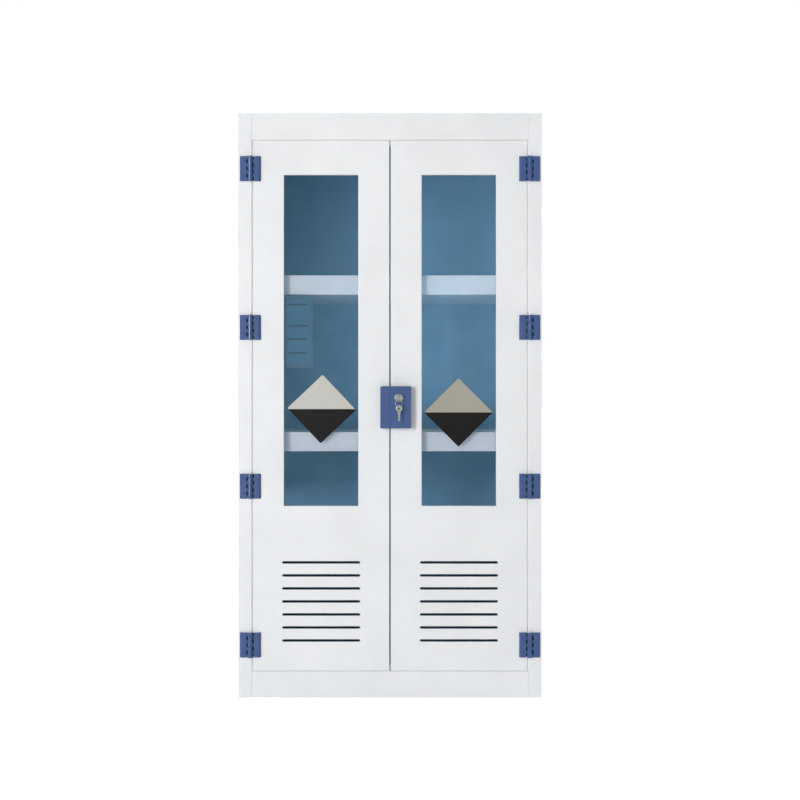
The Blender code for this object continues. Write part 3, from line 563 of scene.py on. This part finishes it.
# %% [markdown]
# ## Sealing beads round the doors
#
# The doors close between the stiles and rails with a gap of 3 to 4 mm. A soft white bead is pressed
# on the frame's edge in that gap, all round, so the gap shows as a thin grey line and not as a
# black one. Each bead is a bar whose nose, the side towards the door, is rounded. Soft vinyl is a
# little yellower and duller than the sheet beside it, with the fine lines of the die along it.

# %% Make and place the beads
def soft_vinyl_material(name, stops):
    """Extruded soft vinyl: slightly yellower and duller than the sheet, with fine die lines."""
    material, tree, shader, place = new_material(name)
    lines = noise(tree, stretch(tree, place, (1.0, 1.0, 0.05)), lump_mm=1.5, detail=3.0)
    feed(tree, shader, {"Base Color": ramp(tree, lines, stops), "IOR": 1.53,
                        "Roughness": spread(tree, lines, 0.5, 0.65)})
    return material


soft_vinyl = soft_vinyl_material("extruded_soft_white_vinyl",
                                 [(0.35, "E4E5E4"), (0.65, "ECEDEC")])
BEAD_STANDS = 0.0030
LEVEL_BEAD_STANDS = 0.0021
BEAD_NOSE = 0.0012
LEVEL_BEAD_NOSE = 0.0009
BEAD_FRONT = -0.2232
BEAD_BACK = -0.2176
SAME_PLACE = 0.0005
stile_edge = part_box("left_stile")[1].x
rail_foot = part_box("top_rail")[0].z
plinth_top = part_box("plinth_rail")[1].z
for side, sign in (("left", 1), ("right", -1)):
    edge = sign * stile_edge
    xs = sorted((edge, edge + sign * BEAD_STANDS))
    bead = block(f"{side}_sealing_bead", (xs[0], BEAD_FRONT, plinth_top),
                 (xs[1], BEAD_BACK, rail_foot))
    round_edges(bead, "Z", BEAD_NOSE, 3,
                lambda point: abs(point.x) < abs(stile_edge) - BEAD_STANDS / 2)
    finish_piece(bead, soft_vinyl, "root", smooth_degrees=CRISP)
for name, low_z, high_z in (("upper", rail_foot - LEVEL_BEAD_STANDS, rail_foot),
                            ("lower", plinth_top, plinth_top + LEVEL_BEAD_STANDS)):
    bead = block(f"{name}_sealing_bead", (stile_edge, BEAD_FRONT, low_z),
                 (-stile_edge, BEAD_BACK, high_z))
    round_edges(bead, "X", LEVEL_BEAD_NOSE, 3,
                lambda point: plinth_top + SAME_PLACE < point.z < rail_foot - SAME_PLACE)
    finish_piece(bead, soft_vinyl, "root", smooth_degrees=CRISP)
print("beads round an opening from z", round(plinth_top, 3), "to", round(rail_foot, 3))

# %% [markdown]
# ## Screws of the pane retainers
#
# Behind each door a frame of sheet holds the pane in its rebate, fixed by steel screws outside the
# pane's edge. They show when a door is open. The same screw head serves, a little smaller and
# turned to face the back.

# %% Put the screws on the retainers
RETAINER_SCREW_INSET = 0.0060
RETAINER_SCREW_SHARE = 0.85
RETAINER_SCREW_TURN = 53
LONG_SIDE_SCREWS = 5
retainer_screws = 0
for side in ("left", "right"):
    low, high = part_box(f"{side}_pane_retainer")
    xs = (low.x + RETAINER_SCREW_INSET, high.x - RETAINER_SCREW_INSET)
    zs = (low.z + RETAINER_SCREW_INSET, high.z - RETAINER_SCREW_INSET)
    places = [((xs[0] + xs[1]) / 2, z) for z in zs]
    for step in range(LONG_SIDE_SCREWS):
        z = zs[0] + (zs[1] - zs[0]) * step / (LONG_SIDE_SCREWS - 1)
        places += [(x, z) for x in xs]
    for number, (x, z) in enumerate(places, 1):
        turn = turned(RETAINER_SCREW_TURN * number, "Y") @ FACING_BACK
        size = Matrix.Scale(RETAINER_SCREW_SHARE, 4)
        piece = copy_at(screw, f"{side}_retainer_screw_{number}",
                        Matrix.Translation((x, high.y, z)) @ turn @ size)
        finish_piece(piece, steel, f"{side}_door", CRISP)
        retainer_screws += 1
print("placed", retainer_screws, "retainer screws")

# %% [markdown]
# ## Weld beads
#
# The sheets of the carcass are joined by hot-air welding: a rod of the same plastic is pressed
# along each corner, and its steps leave fine ripples. One ripple is modelled as a short ring of
# faces with a fuller middle, an array repeats it along the seam, and its ends are closed. Half of
# each bead lies in the corner and half shows.

# %% Model and place the weld beads
RIPPLE = 0.006
RIPPLE_SWELL = 1.10
ROD_SIDES = 8


def weld_bead(name, begin, end, radius, material):
    """A rippled rod from one point to another, closed at its ends."""
    begin, end = Vector(begin), Vector(end)
    length = (end - begin).length
    ripples = max(2, round(length / RIPPLE))
    rod = start(bpy.ops.mesh.primitive_cylinder_add, name, vertices=ROD_SIDES,
                radius=radius, depth=RIPPLE, end_fill_type="NOTHING")
    pick_edges(rod, lambda a, b: abs(a.z - b.z) > RIPPLE / 2)
    bpy.ops.mesh.subdivide(number_cuts=1)
    bpy.ops.object.mode_set(mode="OBJECT")
    pick_edges(rod, lambda a, b: abs(a.z) < RIPPLE / 4 and abs(b.z) < RIPPLE / 4)
    bpy.ops.transform.resize(value=(RIPPLE_SWELL, RIPPLE_SWELL, 1))
    bpy.ops.object.mode_set(mode="OBJECT")
    array = rod.modifiers.new("along", "ARRAY")
    array.count = ripples
    array.use_relative_offset = False
    array.use_constant_offset = True
    array.constant_offset_displace = (0, 0, RIPPLE)
    array.use_merge_vertices = True
    array.merge_threshold = MERGE_DISTANCE
    bpy.ops.object.modifier_apply(modifier="along")
    close_ends(rod)
    turn = (end - begin).to_track_quat("Z", "Y").to_matrix().to_4x4()
    fit = Matrix.Scale(length / (ripples * RIPPLE), 4, (0, 0, 1))
    placed(rod, Matrix.Translation(begin) @ turn @ fit @ Matrix.Translation((0, 0, RIPPLE / 2)))
    finish_piece(rod, material, "root", smooth_degrees=SOFT)


FRONT_END = -0.205
OUTER_FOOT = 0.003
OUTER_BELOW_ROOF = 0.002
INNER_BEAD = 0.0024
OUTER_BEAD = 0.0018
side_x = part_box("left_side_panel")[1].x
floor_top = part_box("floor_panel")[1].z
ceiling, roof = (corner.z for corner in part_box("top_panel"))
back_in, back_out = (corner.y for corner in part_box("back_panel"))
seams = []
for side, x in (("left", side_x), ("right", -side_x)):
    low_corner, high_corner = (x, back_in, floor_top), (x, back_in, ceiling)
    outer_foot, outer_head = (x, back_out, OUTER_FOOT), (x, back_out, roof - OUTER_BELOW_ROOF)
    seams += [(f"{side}_back", low_corner, high_corner, INNER_BEAD, blue_sheet),
              (f"{side}_floor", (x, FRONT_END, floor_top), low_corner, INNER_BEAD, white_sheet),
              (f"{side}_ceiling", (x, FRONT_END, ceiling), high_corner, INNER_BEAD, white_sheet),
              (f"{side}_outer", outer_foot, outer_head, OUTER_BEAD, blue_sheet)]
for end, z in (("floor", floor_top), ("ceiling", ceiling)):
    seams.append((f"back_{end}", (side_x, back_in, z), (-side_x, back_in, z),
                  INNER_BEAD, blue_sheet))
for name, begin, end, radius, material in seams:
    weld_bead(f"{name}_weld", begin, end, radius, material)
one_bead = bpy.data.objects["left_back_weld"]
print("laid", len(seams), "weld beads; one has", len(one_bead.data.polygons), "faces")

# %% [markdown]
# ## Split ring
#
# The two keys hang on a split ring: about two turns of spring wire, side by side. The plain solid
# ring is one thick wire, so the coil replaces it. A small circle of edges is carried round the
# ring's axis by a Screw modifier, its ends are closed, and it is stood where the solid ring is.

# %% Wind and place the split ring
RING_WIRE = 0.00044
RING_TURNS = 1.92
RING_RADIUS = 0.0145
RING_STEPS = 96
WIRE_SIDES = 10
RING_TURN = 45
ring = start(bpy.ops.mesh.primitive_circle_add, "split_ring", vertices=WIRE_SIDES,
             radius=RING_WIRE, location=(RING_RADIUS, 0, -RING_WIRE),
             rotation=(math.radians(90), 0, 0))
only(ring)
wind = ring.modifiers.new("wind", "SCREW")
wind.axis = "Z"
wind.angle = math.radians(360 * RING_TURNS)
wind.screw_offset = 2 * RING_WIRE * RING_TURNS
wind.steps = RING_STEPS
wind.render_steps = RING_STEPS
wind.use_normal_calculate = True
bpy.ops.object.modifier_apply(modifier="wind")
close_ends(ring)
placed(ring, Matrix.Translation(middle_of("key_ring")) @ turned(RING_TURN, "Z") @ FACING_FRONT)
finish_piece(ring, steel, "key_ring", ROUND)
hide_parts("key_ring")
print("split ring", [round(v, 4) for v in ring.dimensions], len(ring.data.polygons), "faces")

# %% [markdown]
# ## Bezel and coined rims
#
# Flat metal mirrors one point of the room, so it looks like paint. Round metal mirrors the whole
# room in narrow bright and dark arcs, which is how the eye knows it for metal. The lock cylinder
# has a rounded bezel on its flange, and each key's bow has a coined rim on both faces. All of them
# are one shape, a half-round ring: a half circle that is spun once round.

# %% Spin and place the round rims
BEZEL_RADIUS = 0.0122
BEZEL_ROUND = 0.0012
BOW_RIM_RADIUS = 0.0092
BOW_RIM_ROUND = 0.00045
SPIN_STEPS = 64
SECTION_SIDES = 16


def half_round_ring(name, radius, rounding):
    """A ring with a half-round section, facing up, its flat side at z zero."""
    ring = start(bpy.ops.mesh.primitive_circle_add, name, vertices=SECTION_SIDES,
                 radius=rounding, location=(radius, 0, 0), rotation=(math.radians(90), 0, 0))
    edit(ring, "EDGE", "SELECT")
    bpy.ops.mesh.edge_face_add()
    bpy.ops.mesh.bisect(plane_co=(radius, 0, 0), plane_no=(0, 0, 1), clear_inner=True,
                        use_fill=True)
    bpy.ops.mesh.select_all(action="SELECT")
    bpy.ops.mesh.spin(steps=SPIN_STEPS, angle=math.radians(360), center=(0, 0, 0),
                      axis=(0, 0, 1))
    bpy.ops.mesh.select_all(action="SELECT")
    bpy.ops.mesh.remove_doubles(threshold=MERGE_DISTANCE)
    done_editing()
    return ring


flange_low, flange_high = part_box("lock_cylinder")
plug_x, plug_z = (flange_low.x + flange_high.x) / 2, (flange_low.z + flange_high.z) / 2
bezel = half_round_ring("cylinder_bezel", BEZEL_RADIUS, BEZEL_ROUND)
placed(bezel, Matrix.Translation((plug_x, flange_low.y, plug_z)) @ FACING_FRONT)
finish_piece(bezel, chrome, "right_door", ROUND)

rim = half_round_ring("rim_model", BOW_RIM_RADIUS, BOW_RIM_ROUND)
key_low, key_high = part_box("lock_key")
spare_low, spare_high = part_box("spare_key")
bow_radius = (spare_high.x - spare_low.x) / 2
bow = (key_low.y + bow_radius, (key_low.z + key_high.z) / 2)
spare_bow = ((spare_low.x + spare_high.x) / 2, spare_high.z - bow_radius)
for name, body, middle, turn in (
        ("lock_key_left", "key", (key_low.x, *bow), FACING_LEFT),
        ("lock_key_right", "key", (key_high.x, *bow), FACING_RIGHT),
        ("spare_key_front", "spare_key", (spare_bow[0], spare_low.y, spare_bow[1]), FACING_FRONT),
        ("spare_key_back", "spare_key", (spare_bow[0], spare_high.y, spare_bow[1]), FACING_BACK)):
    piece = copy_at(rim, f"{name}_rim", Matrix.Translation(middle) @ turn)
    finish_piece(piece, key_metal, body, ROUND)
bpy.data.objects.remove(rim, do_unlink=True)
print("bow radius", round(bow_radius, 4), "bow centres", bow, spare_bow)

# %% [markdown]
# ## Paper and sleeve
#
# A sheet in a teal sleeve hangs behind the left pane. Its dark blue is painted shade, and the
# sleeve's darker teal border round it is a painted shadow. It is kept generic: a few bars stand for
# its lines, and it says nothing. Paper is dull and fibrous, so the bars look printed and not cut
# out. They are a pattern on height and width: a place is inked if it is near one of four heights.

# %% Make the sheet's finishes
BAR_HEIGHTS = (1.2121, 1.1457, 1.1055, 1.0622)
BAR_HALF = 0.0028
# A Mix node has one set of sockets for each kind of value. These are the ones for colours.
MIX_A, MIX_B, MIX_RESULT = 6, 7, 2


def printed_sheet_painted_shade_material(name, middle_x, half_width):
    """Dull paper, dark blue as painted shade, with level bars at fixed heights and fibre in its
    colour.
    """
    material, tree, shader, place = new_material(name)
    fibre = noise(tree, place, lump_mm=3, detail=4.0)
    # The paper's dark blue is painted shade.
    paper = ramp(tree, fibre, [(0.35, "2C5876"), (0.65, "33627F")])
    parts = node(tree, "ShaderNodeSeparateXYZ", {"Vector": place})
    aside = maths(tree, "ABSOLUTE", maths(tree, "SUBTRACT", parts.outputs["X"], middle_x))
    bars = 0.0
    for bar_z in BAR_HEIGHTS:
        above = maths(tree, "ABSOLUTE", maths(tree, "SUBTRACT", parts.outputs["Z"], bar_z))
        bars = maths(tree, "ADD", maths(tree, "LESS_THAN", above, BAR_HALF), bars)
    ink = maths(tree, "MULTIPLY", bars, maths(tree, "LESS_THAN", aside, half_width))
    both = node(tree, "ShaderNodeMix", {"Factor": ink, MIX_A: paper, MIX_B: linear("10303E")},
                data_type="RGBA")
    feed(tree, shader, {"Base Color": both.outputs[MIX_RESULT],
                        "Roughness": spread(tree, fibre, 0.55, 0.7)})
    return material


# The sleeve's near-black teal is a painted shadow round the sheet.
sleeve_painted_shadow_vinyl = soft_vinyl_material("teal_vinyl_sleeve_painted_shadow", [(0.3, "0F3440"), (0.7, "153D4A")])
print("made", sleeve_painted_shadow_vinyl.name)

# %% [markdown]
# ## Information sheet
#
# The sleeve is a thin board with rounded corners, and the sheet lies on its front. Both hang just
# behind the pane and ride on the door, so they swing with it.

# %% Model and place the sheet
SLEEVE_LOW = (-0.3272, -0.2124, 1.0158)
SLEEVE_HIGH = (-0.2385, -0.2119, 1.2380)
SLEEVE_CORNER = 0.003
SHEET_LOW = (-0.3222, -0.2127, 1.0298)
SHEET_HIGH = (-0.2505, -0.2123, 1.2250)
SHEET_CORNER = 0.0015
SHEET_MARGIN = 0.005
sleeve = round_edges(block("information_sleeve", SLEEVE_LOW, SLEEVE_HIGH), "Y", SLEEVE_CORNER, 3)
finish_piece(sleeve, sleeve_painted_shadow_vinyl, "left_door")
sheet = round_edges(block("information_sheet", SHEET_LOW, SHEET_HIGH), "Y", SHEET_CORNER, 2)
sheet_middle = (SHEET_LOW[0] + SHEET_HIGH[0]) / 2
ink_half = (SHEET_HIGH[0] - SHEET_LOW[0]) / 2 - SHEET_MARGIN
paper_painted_shade = printed_sheet_painted_shade_material("printed_blue_paper_painted_shade", sheet_middle, ink_half)
finish_piece(sheet, paper_painted_shade, "left_door")
print("sheet", round(SHEET_HIGH[0] - SHEET_LOW[0], 4), "by", round(SHEET_HIGH[2] - SHEET_LOW[2], 4))

# %% [markdown]
# ## Film of the diamond plates
#
# A square plate stands on its corner on each window, its upper half silver and its lower half
# black, and it is left bare. The two tones are one pattern on height, so they meet in a sharp level
# line. The surface is a printed film with a fine grain and little shine, so it stays readable
# against the mirroring pane. The back of the board is plain grey.

# %% Make the plates' finish
def plate_material(name, middle_z, silver_stops):
    """Printed film in two tones that meet at one height, with a fine grain."""
    material, tree, shader, place = new_material(name)
    height = node(tree, "ShaderNodeSeparateXYZ", {"Vector": place}).outputs["Z"]
    grain = noise(tree, place, lump_mm=2.5, detail=4.0)
    silver = ramp(tree, grain, silver_stops)
    black = ramp(tree, grain, [(0.35, "0C0C0B"), (0.65, "131312")])
    tones = node(tree, "ShaderNodeMix", {"Factor": maths(tree, "LESS_THAN", height, middle_z),
                                         MIX_A: silver, MIX_B: black}, data_type="RGBA")
    feed(tree, shader, {"Base Color": tones.outputs[MIX_RESULT], "Specular IOR Level": 0.2,
                        "Roughness": spread(tree, grain, 0.32, 0.45)})
    return material


BACKING_STOPS = [(0.35, "8F918F"), (0.65, "9B9D9B")]
BACKING_TONES_MEET = 0.0
print("the backing's two tones meet at the floor, so it is plain:", BACKING_STOPS)

# %% [markdown]
# ## Diamond plates
#
# A plate is a thin square with rounded corners and a narrow rim round a slightly sunk field. It is
# modelled square, then turned 45 degrees onto its corner. In the photograph the two plates are not
# hung alike: they differ in height and one is tilted a little, so each has its own place and tilt.
# Each plate's silver is its silver print with a painted reflection of another part of the room:
# lighter on the left plate, darker on the right.

# %% Model and place the plates
PLATE_SIDE = 0.150
PLATE_SHEET = 0.0010
PLATE_CORNER = 0.004
PLATE_RIM = 0.0022
FIELD_STEP = 0.0005
FIELD_SUNK = 0.0003
PLATE_GLUE = 0.0002
# Each plate's silver pair is its silver print with a painted reflection: lighter left, darker right.
PLATE_PLACES_AND_PAINTED_REFLECTIONS = (("left", -0.2111, 0.8890, 1.6, ("BDBCB5", "CAC9C2")),
                ("right", 0.2112, 0.8787, 0.0, ("9D998E", "ABA79C")))


def diamond_plate(name):
    """A square on its corner, facing front: rounded corners and a rim round a sunk field."""
    plate = start(bpy.ops.mesh.primitive_cube_add, name, size=1,
                  scale=(PLATE_SIDE, PLATE_SHEET, PLATE_SIDE))
    pick_edges(plate, lambda a, b: abs(a.y - b.y) > PLATE_SHEET / 2)
    bpy.ops.mesh.bevel(offset=PLATE_CORNER, segments=4)
    bpy.ops.object.mode_set(mode="OBJECT")
    pick_faces(plate, lambda middle, normal: normal.y < -STRAIGHT)
    bpy.ops.mesh.inset(thickness=PLATE_RIM, depth=0)
    bpy.ops.mesh.inset(thickness=FIELD_STEP, depth=-FIELD_SUNK)
    done_editing()
    return placed(plate, turned(45, "Y"))


for side, x, z, tilt, silver in PLATE_PLACES_AND_PAINTED_REFLECTIONS:
    pane_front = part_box(f"{side}_window_pane")[0].y
    plate = diamond_plate(f"{side}_diamond_plate")
    place = Matrix.Translation((x, pane_front - PLATE_SHEET / 2 - PLATE_GLUE, z))
    placed(plate, place @ turned(tilt, "Y"))
    # The film's silver carries that plate's painted reflection.
    film = plate_material(f"{side}_plate_two_tone_film_painted_reflection", z, [(0.35, silver[0]), (0.65, silver[1])])
    finish_piece(plate, film, f"{side}_door")
    backing = plate_material(f"{side}_plate_plain_backing", BACKING_TONES_MEET, BACKING_STOPS)
    plate.data.materials.append(backing)
    for face in plate.data.polygons:
        face.material_index = 1 if face.normal.y > STRAIGHT else 0
    print(plate.name, "centre", x, z)

# %% [markdown]
# ## Floor
#
# The floor is one wide sheet of pale paper under a white backdrop. It glows a little, and more so
# far away, so no line shows where it ends. The panes would mirror that glow, so rays that don't
# come from the camera see only a quarter of it.

# %% Make the floor
FLOOR_RADIUS = 120
FLOOR_SIDES = 96
PAPER_CLOUDS_PER_METRE = 0.7
GLOW_GROWS = (1.0, 6.0)
GLOW_IN_MIRRORS = 0.25


def paper_material(name, colour, near_glow, far_glow):
    """Plain pale paper with a faint cloudiness, lifted so that it reads as white."""
    material, tree, shader, place = new_material(name)
    patches = node(tree, "ShaderNodeTexNoise", {"Vector": place, "Scale": PAPER_CLOUDS_PER_METRE,
                                                "Detail": 2.0}).outputs["Fac"]
    distance = node(tree, "ShaderNodeVectorMath", {0: place}, operation="LENGTH").outputs["Value"]
    glow = change_range(tree, distance, GLOW_GROWS, (near_glow, far_glow))
    straight = node(tree, "ShaderNodeLightPath").outputs["Is Camera Ray"]
    seen = change_range(tree, straight, (0.0, 1.0), (GLOW_IN_MIRRORS, 1.0))
    feed(tree, shader, {"Base Color": ramp(tree, patches, [(0.3, colour), (0.7, "F6F7F8")]),
                        "Roughness": 0.9, "Emission Color": linear("FFFFFF"),
                        "Emission Strength": maths(tree, "MULTIPLY", glow, seen)})
    return material


floor = start(bpy.ops.mesh.primitive_circle_add, "studio_floor", vertices=FLOOR_SIDES,
              radius=FLOOR_RADIUS, fill_type="NGON")
paper = paper_material("pale_studio_paper", "F4F5F6", near_glow=0.55, far_glow=0.85)
floor.data.materials.append(paper)
print("floor", [round(v, 2) for v in floor.dimensions])

# %% [markdown]
# ## Camera
#
# The camera stands 4 m in front of the doors, level and square to them, so upright edges stay
# upright. The lens follows from the width that the frame takes in at that distance.

# %% Place the camera
CAMERA_PLACE = (0.0308, -4.225, 0.917)
FRAME_WIDTH = 2.4645
CAMERA_TO_DOORS = 4.0
SENSOR_WIDTH_MM = 36.0
CAMERA_SEES_TO = 300
camera_data = bpy.data.cameras.new("camera")
camera_data.sensor_width = SENSOR_WIDTH_MM
camera_data.lens = SENSOR_WIDTH_MM * CAMERA_TO_DOORS / FRAME_WIDTH
camera_data.clip_end = CAMERA_SEES_TO
camera = bpy.data.objects.new("camera", camera_data)
camera.location = CAMERA_PLACE
camera.rotation_euler = (math.radians(90), 0, 0)
bpy.context.scene.collection.objects.link(camera)
bpy.context.scene.camera = camera
print("lens", round(camera_data.lens, 2), "mm")

# %% [markdown]
# ## Lights
#
# Four soft lights, none of them seen by the camera. The key stands far off on the left, so the
# shadows fall to the right of the hinges and the lock, and the left door is a little brighter. A
# weak fill softens them. The side light and the back light stand behind the plane of the doors:
# they brighten the right side and the top for other views, and don't touch the front.

# %% Set the lights
def soft_light(name, place, target, width, height, power):
    """A rectangular soft light that faces its target."""
    data = bpy.data.lights.new(name, "AREA")
    data.shape = "RECTANGLE"
    data.size = width
    data.size_y = height
    data.energy = power
    light = bpy.data.objects.new(name, data)
    light.location = place
    direction = Vector(target) - Vector(place)
    light.rotation_euler = direction.to_track_quat("-Z", "Y").to_euler()
    light.visible_camera = False
    bpy.context.scene.collection.objects.link(light)


DOORS_MIDDLE = (0, -0.2, 0.9)
LIGHTS = (
    # name, place, target, width, height, watts
    ("key_light", (-4.8, -8.2, 2.0), DOORS_MIDDLE, 2.2, 3.6, 430),
    ("fill_light", (3.4, -3.2, 1.8), DOORS_MIDDLE, 2.0, 2.0, 5),
    ("side_light", (4.5, 0.8, 2.6), (0.46, 0, 0.9), 2.0, 2.0, 72),
    ("back_light", (-1.2, 2.4, 5.0), (0, 0.1, 1.4), 2.0, 2.0, 75),
)
for light in LIGHTS:
    soft_light(*light)
print("set", len(LIGHTS), "soft lights")

# %% [markdown]
# ## Sky
#
# The camera sees a plain white backdrop. Every other ray sees an even field of soft light, brighter
# on the left and a little darker overhead, and that is what shapes the white sheet and what the
# panes and metals mirror. Two things in it stand for the room that the real panes mirror. A soft
# round patch ahead of the doors, a little to the right, lifts the right pane more than the left.
# A narrow upright strip just above the horizon draws a thin bright line in the right pane.

# %% Set the sky
SKY_LIGHT = 0.37
SKY_LEFT_SHARE, SKY_RIGHT_SHARE = 1.45, 0.6
SKY_OVERHEAD_SHARE = 0.8
SOFT_PATCH = (0.105, -1.0, 0.035)
PATCH_DEGREES = 14
PATCH_LIGHT = 0.72
STRIP_SLOPE = 0.0362
STRIP_HALF = 0.0022
STRIP_LIGHT = 0.8
STRIP_HEAD_FADE = (-0.093, -0.080)
STRIP_FOOT_FADE = (-0.020, 0.0)

world = bpy.data.worlds.new("studio")
world.use_nodes = True
bpy.context.scene.world = world
sky = world.node_tree
sky.nodes.clear()
towards = node(sky, "ShaderNodeTexCoord").outputs["Generated"]
parts = node(sky, "ShaderNodeSeparateXYZ", {"Vector": towards})
x, y, z = (parts.outputs[axis] for axis in "XYZ")

aim = Vector(SOFT_PATCH).normalized()
near = node(sky, "ShaderNodeVectorMath", {0: towards, 1: aim},
            operation="DOT_PRODUCT").outputs["Value"]
patch = change_range(sky, near, (math.cos(math.radians(PATCH_DEGREES)), 1.0), (0.0, PATCH_LIGHT),
                     interpolation_type="SMOOTHSTEP")

off = maths(sky, "ABSOLUTE", maths(sky, "ADD", maths(sky, "DIVIDE", x, y), STRIP_SLOPE))
rise = maths(sky, "DIVIDE", z, y)
strip = maths(sky, "LESS_THAN", y, 0.0)
for factor in (change_range(sky, off, (0.0, STRIP_HALF), (1.0, 0.0)),
               change_range(sky, rise, STRIP_HEAD_FADE, (0.0, 1.0)),
               change_range(sky, rise, STRIP_FOOT_FADE, (1.0, 0.0))):
    strip = maths(sky, "MULTIPLY", strip, factor)

sideways = change_range(sky, x, (-1.0, 1.0),
                        (SKY_LIGHT * SKY_LEFT_SHARE, SKY_LIGHT * SKY_RIGHT_SHARE))
overhead = change_range(sky, z, (0.0, 1.0), (1.0, SKY_OVERHEAD_SHARE))
field = maths(sky, "MULTIPLY_ADD", sideways, overhead, patch)
strength = maths(sky, "MULTIPLY_ADD", strip, STRIP_LIGHT, field)
lighting = node(sky, "ShaderNodeBackground", {"Color": linear("FDFEFF"), "Strength": strength})
backdrop = node(sky, "ShaderNodeBackground", {"Color": linear("FFFFFF"), "Strength": 1.0})
straight = node(sky, "ShaderNodeLightPath").outputs["Is Camera Ray"]
both = node(sky, "ShaderNodeMixShader", {0: straight, 1: lighting.outputs[0],
                                         2: backdrop.outputs[0]})
node(sky, "ShaderNodeOutputWorld", {"Surface": both.outputs[0]})
bpy.context.scene.view_settings.view_transform = "Standard"
print("sky set, its field at", SKY_LIGHT, "of white")

# %% [markdown]
# ## Finish
#
# The model that the screws were copied from is removed.

# %% Remove the screw model
bpy.data.objects.remove(screw, do_unlink=True)
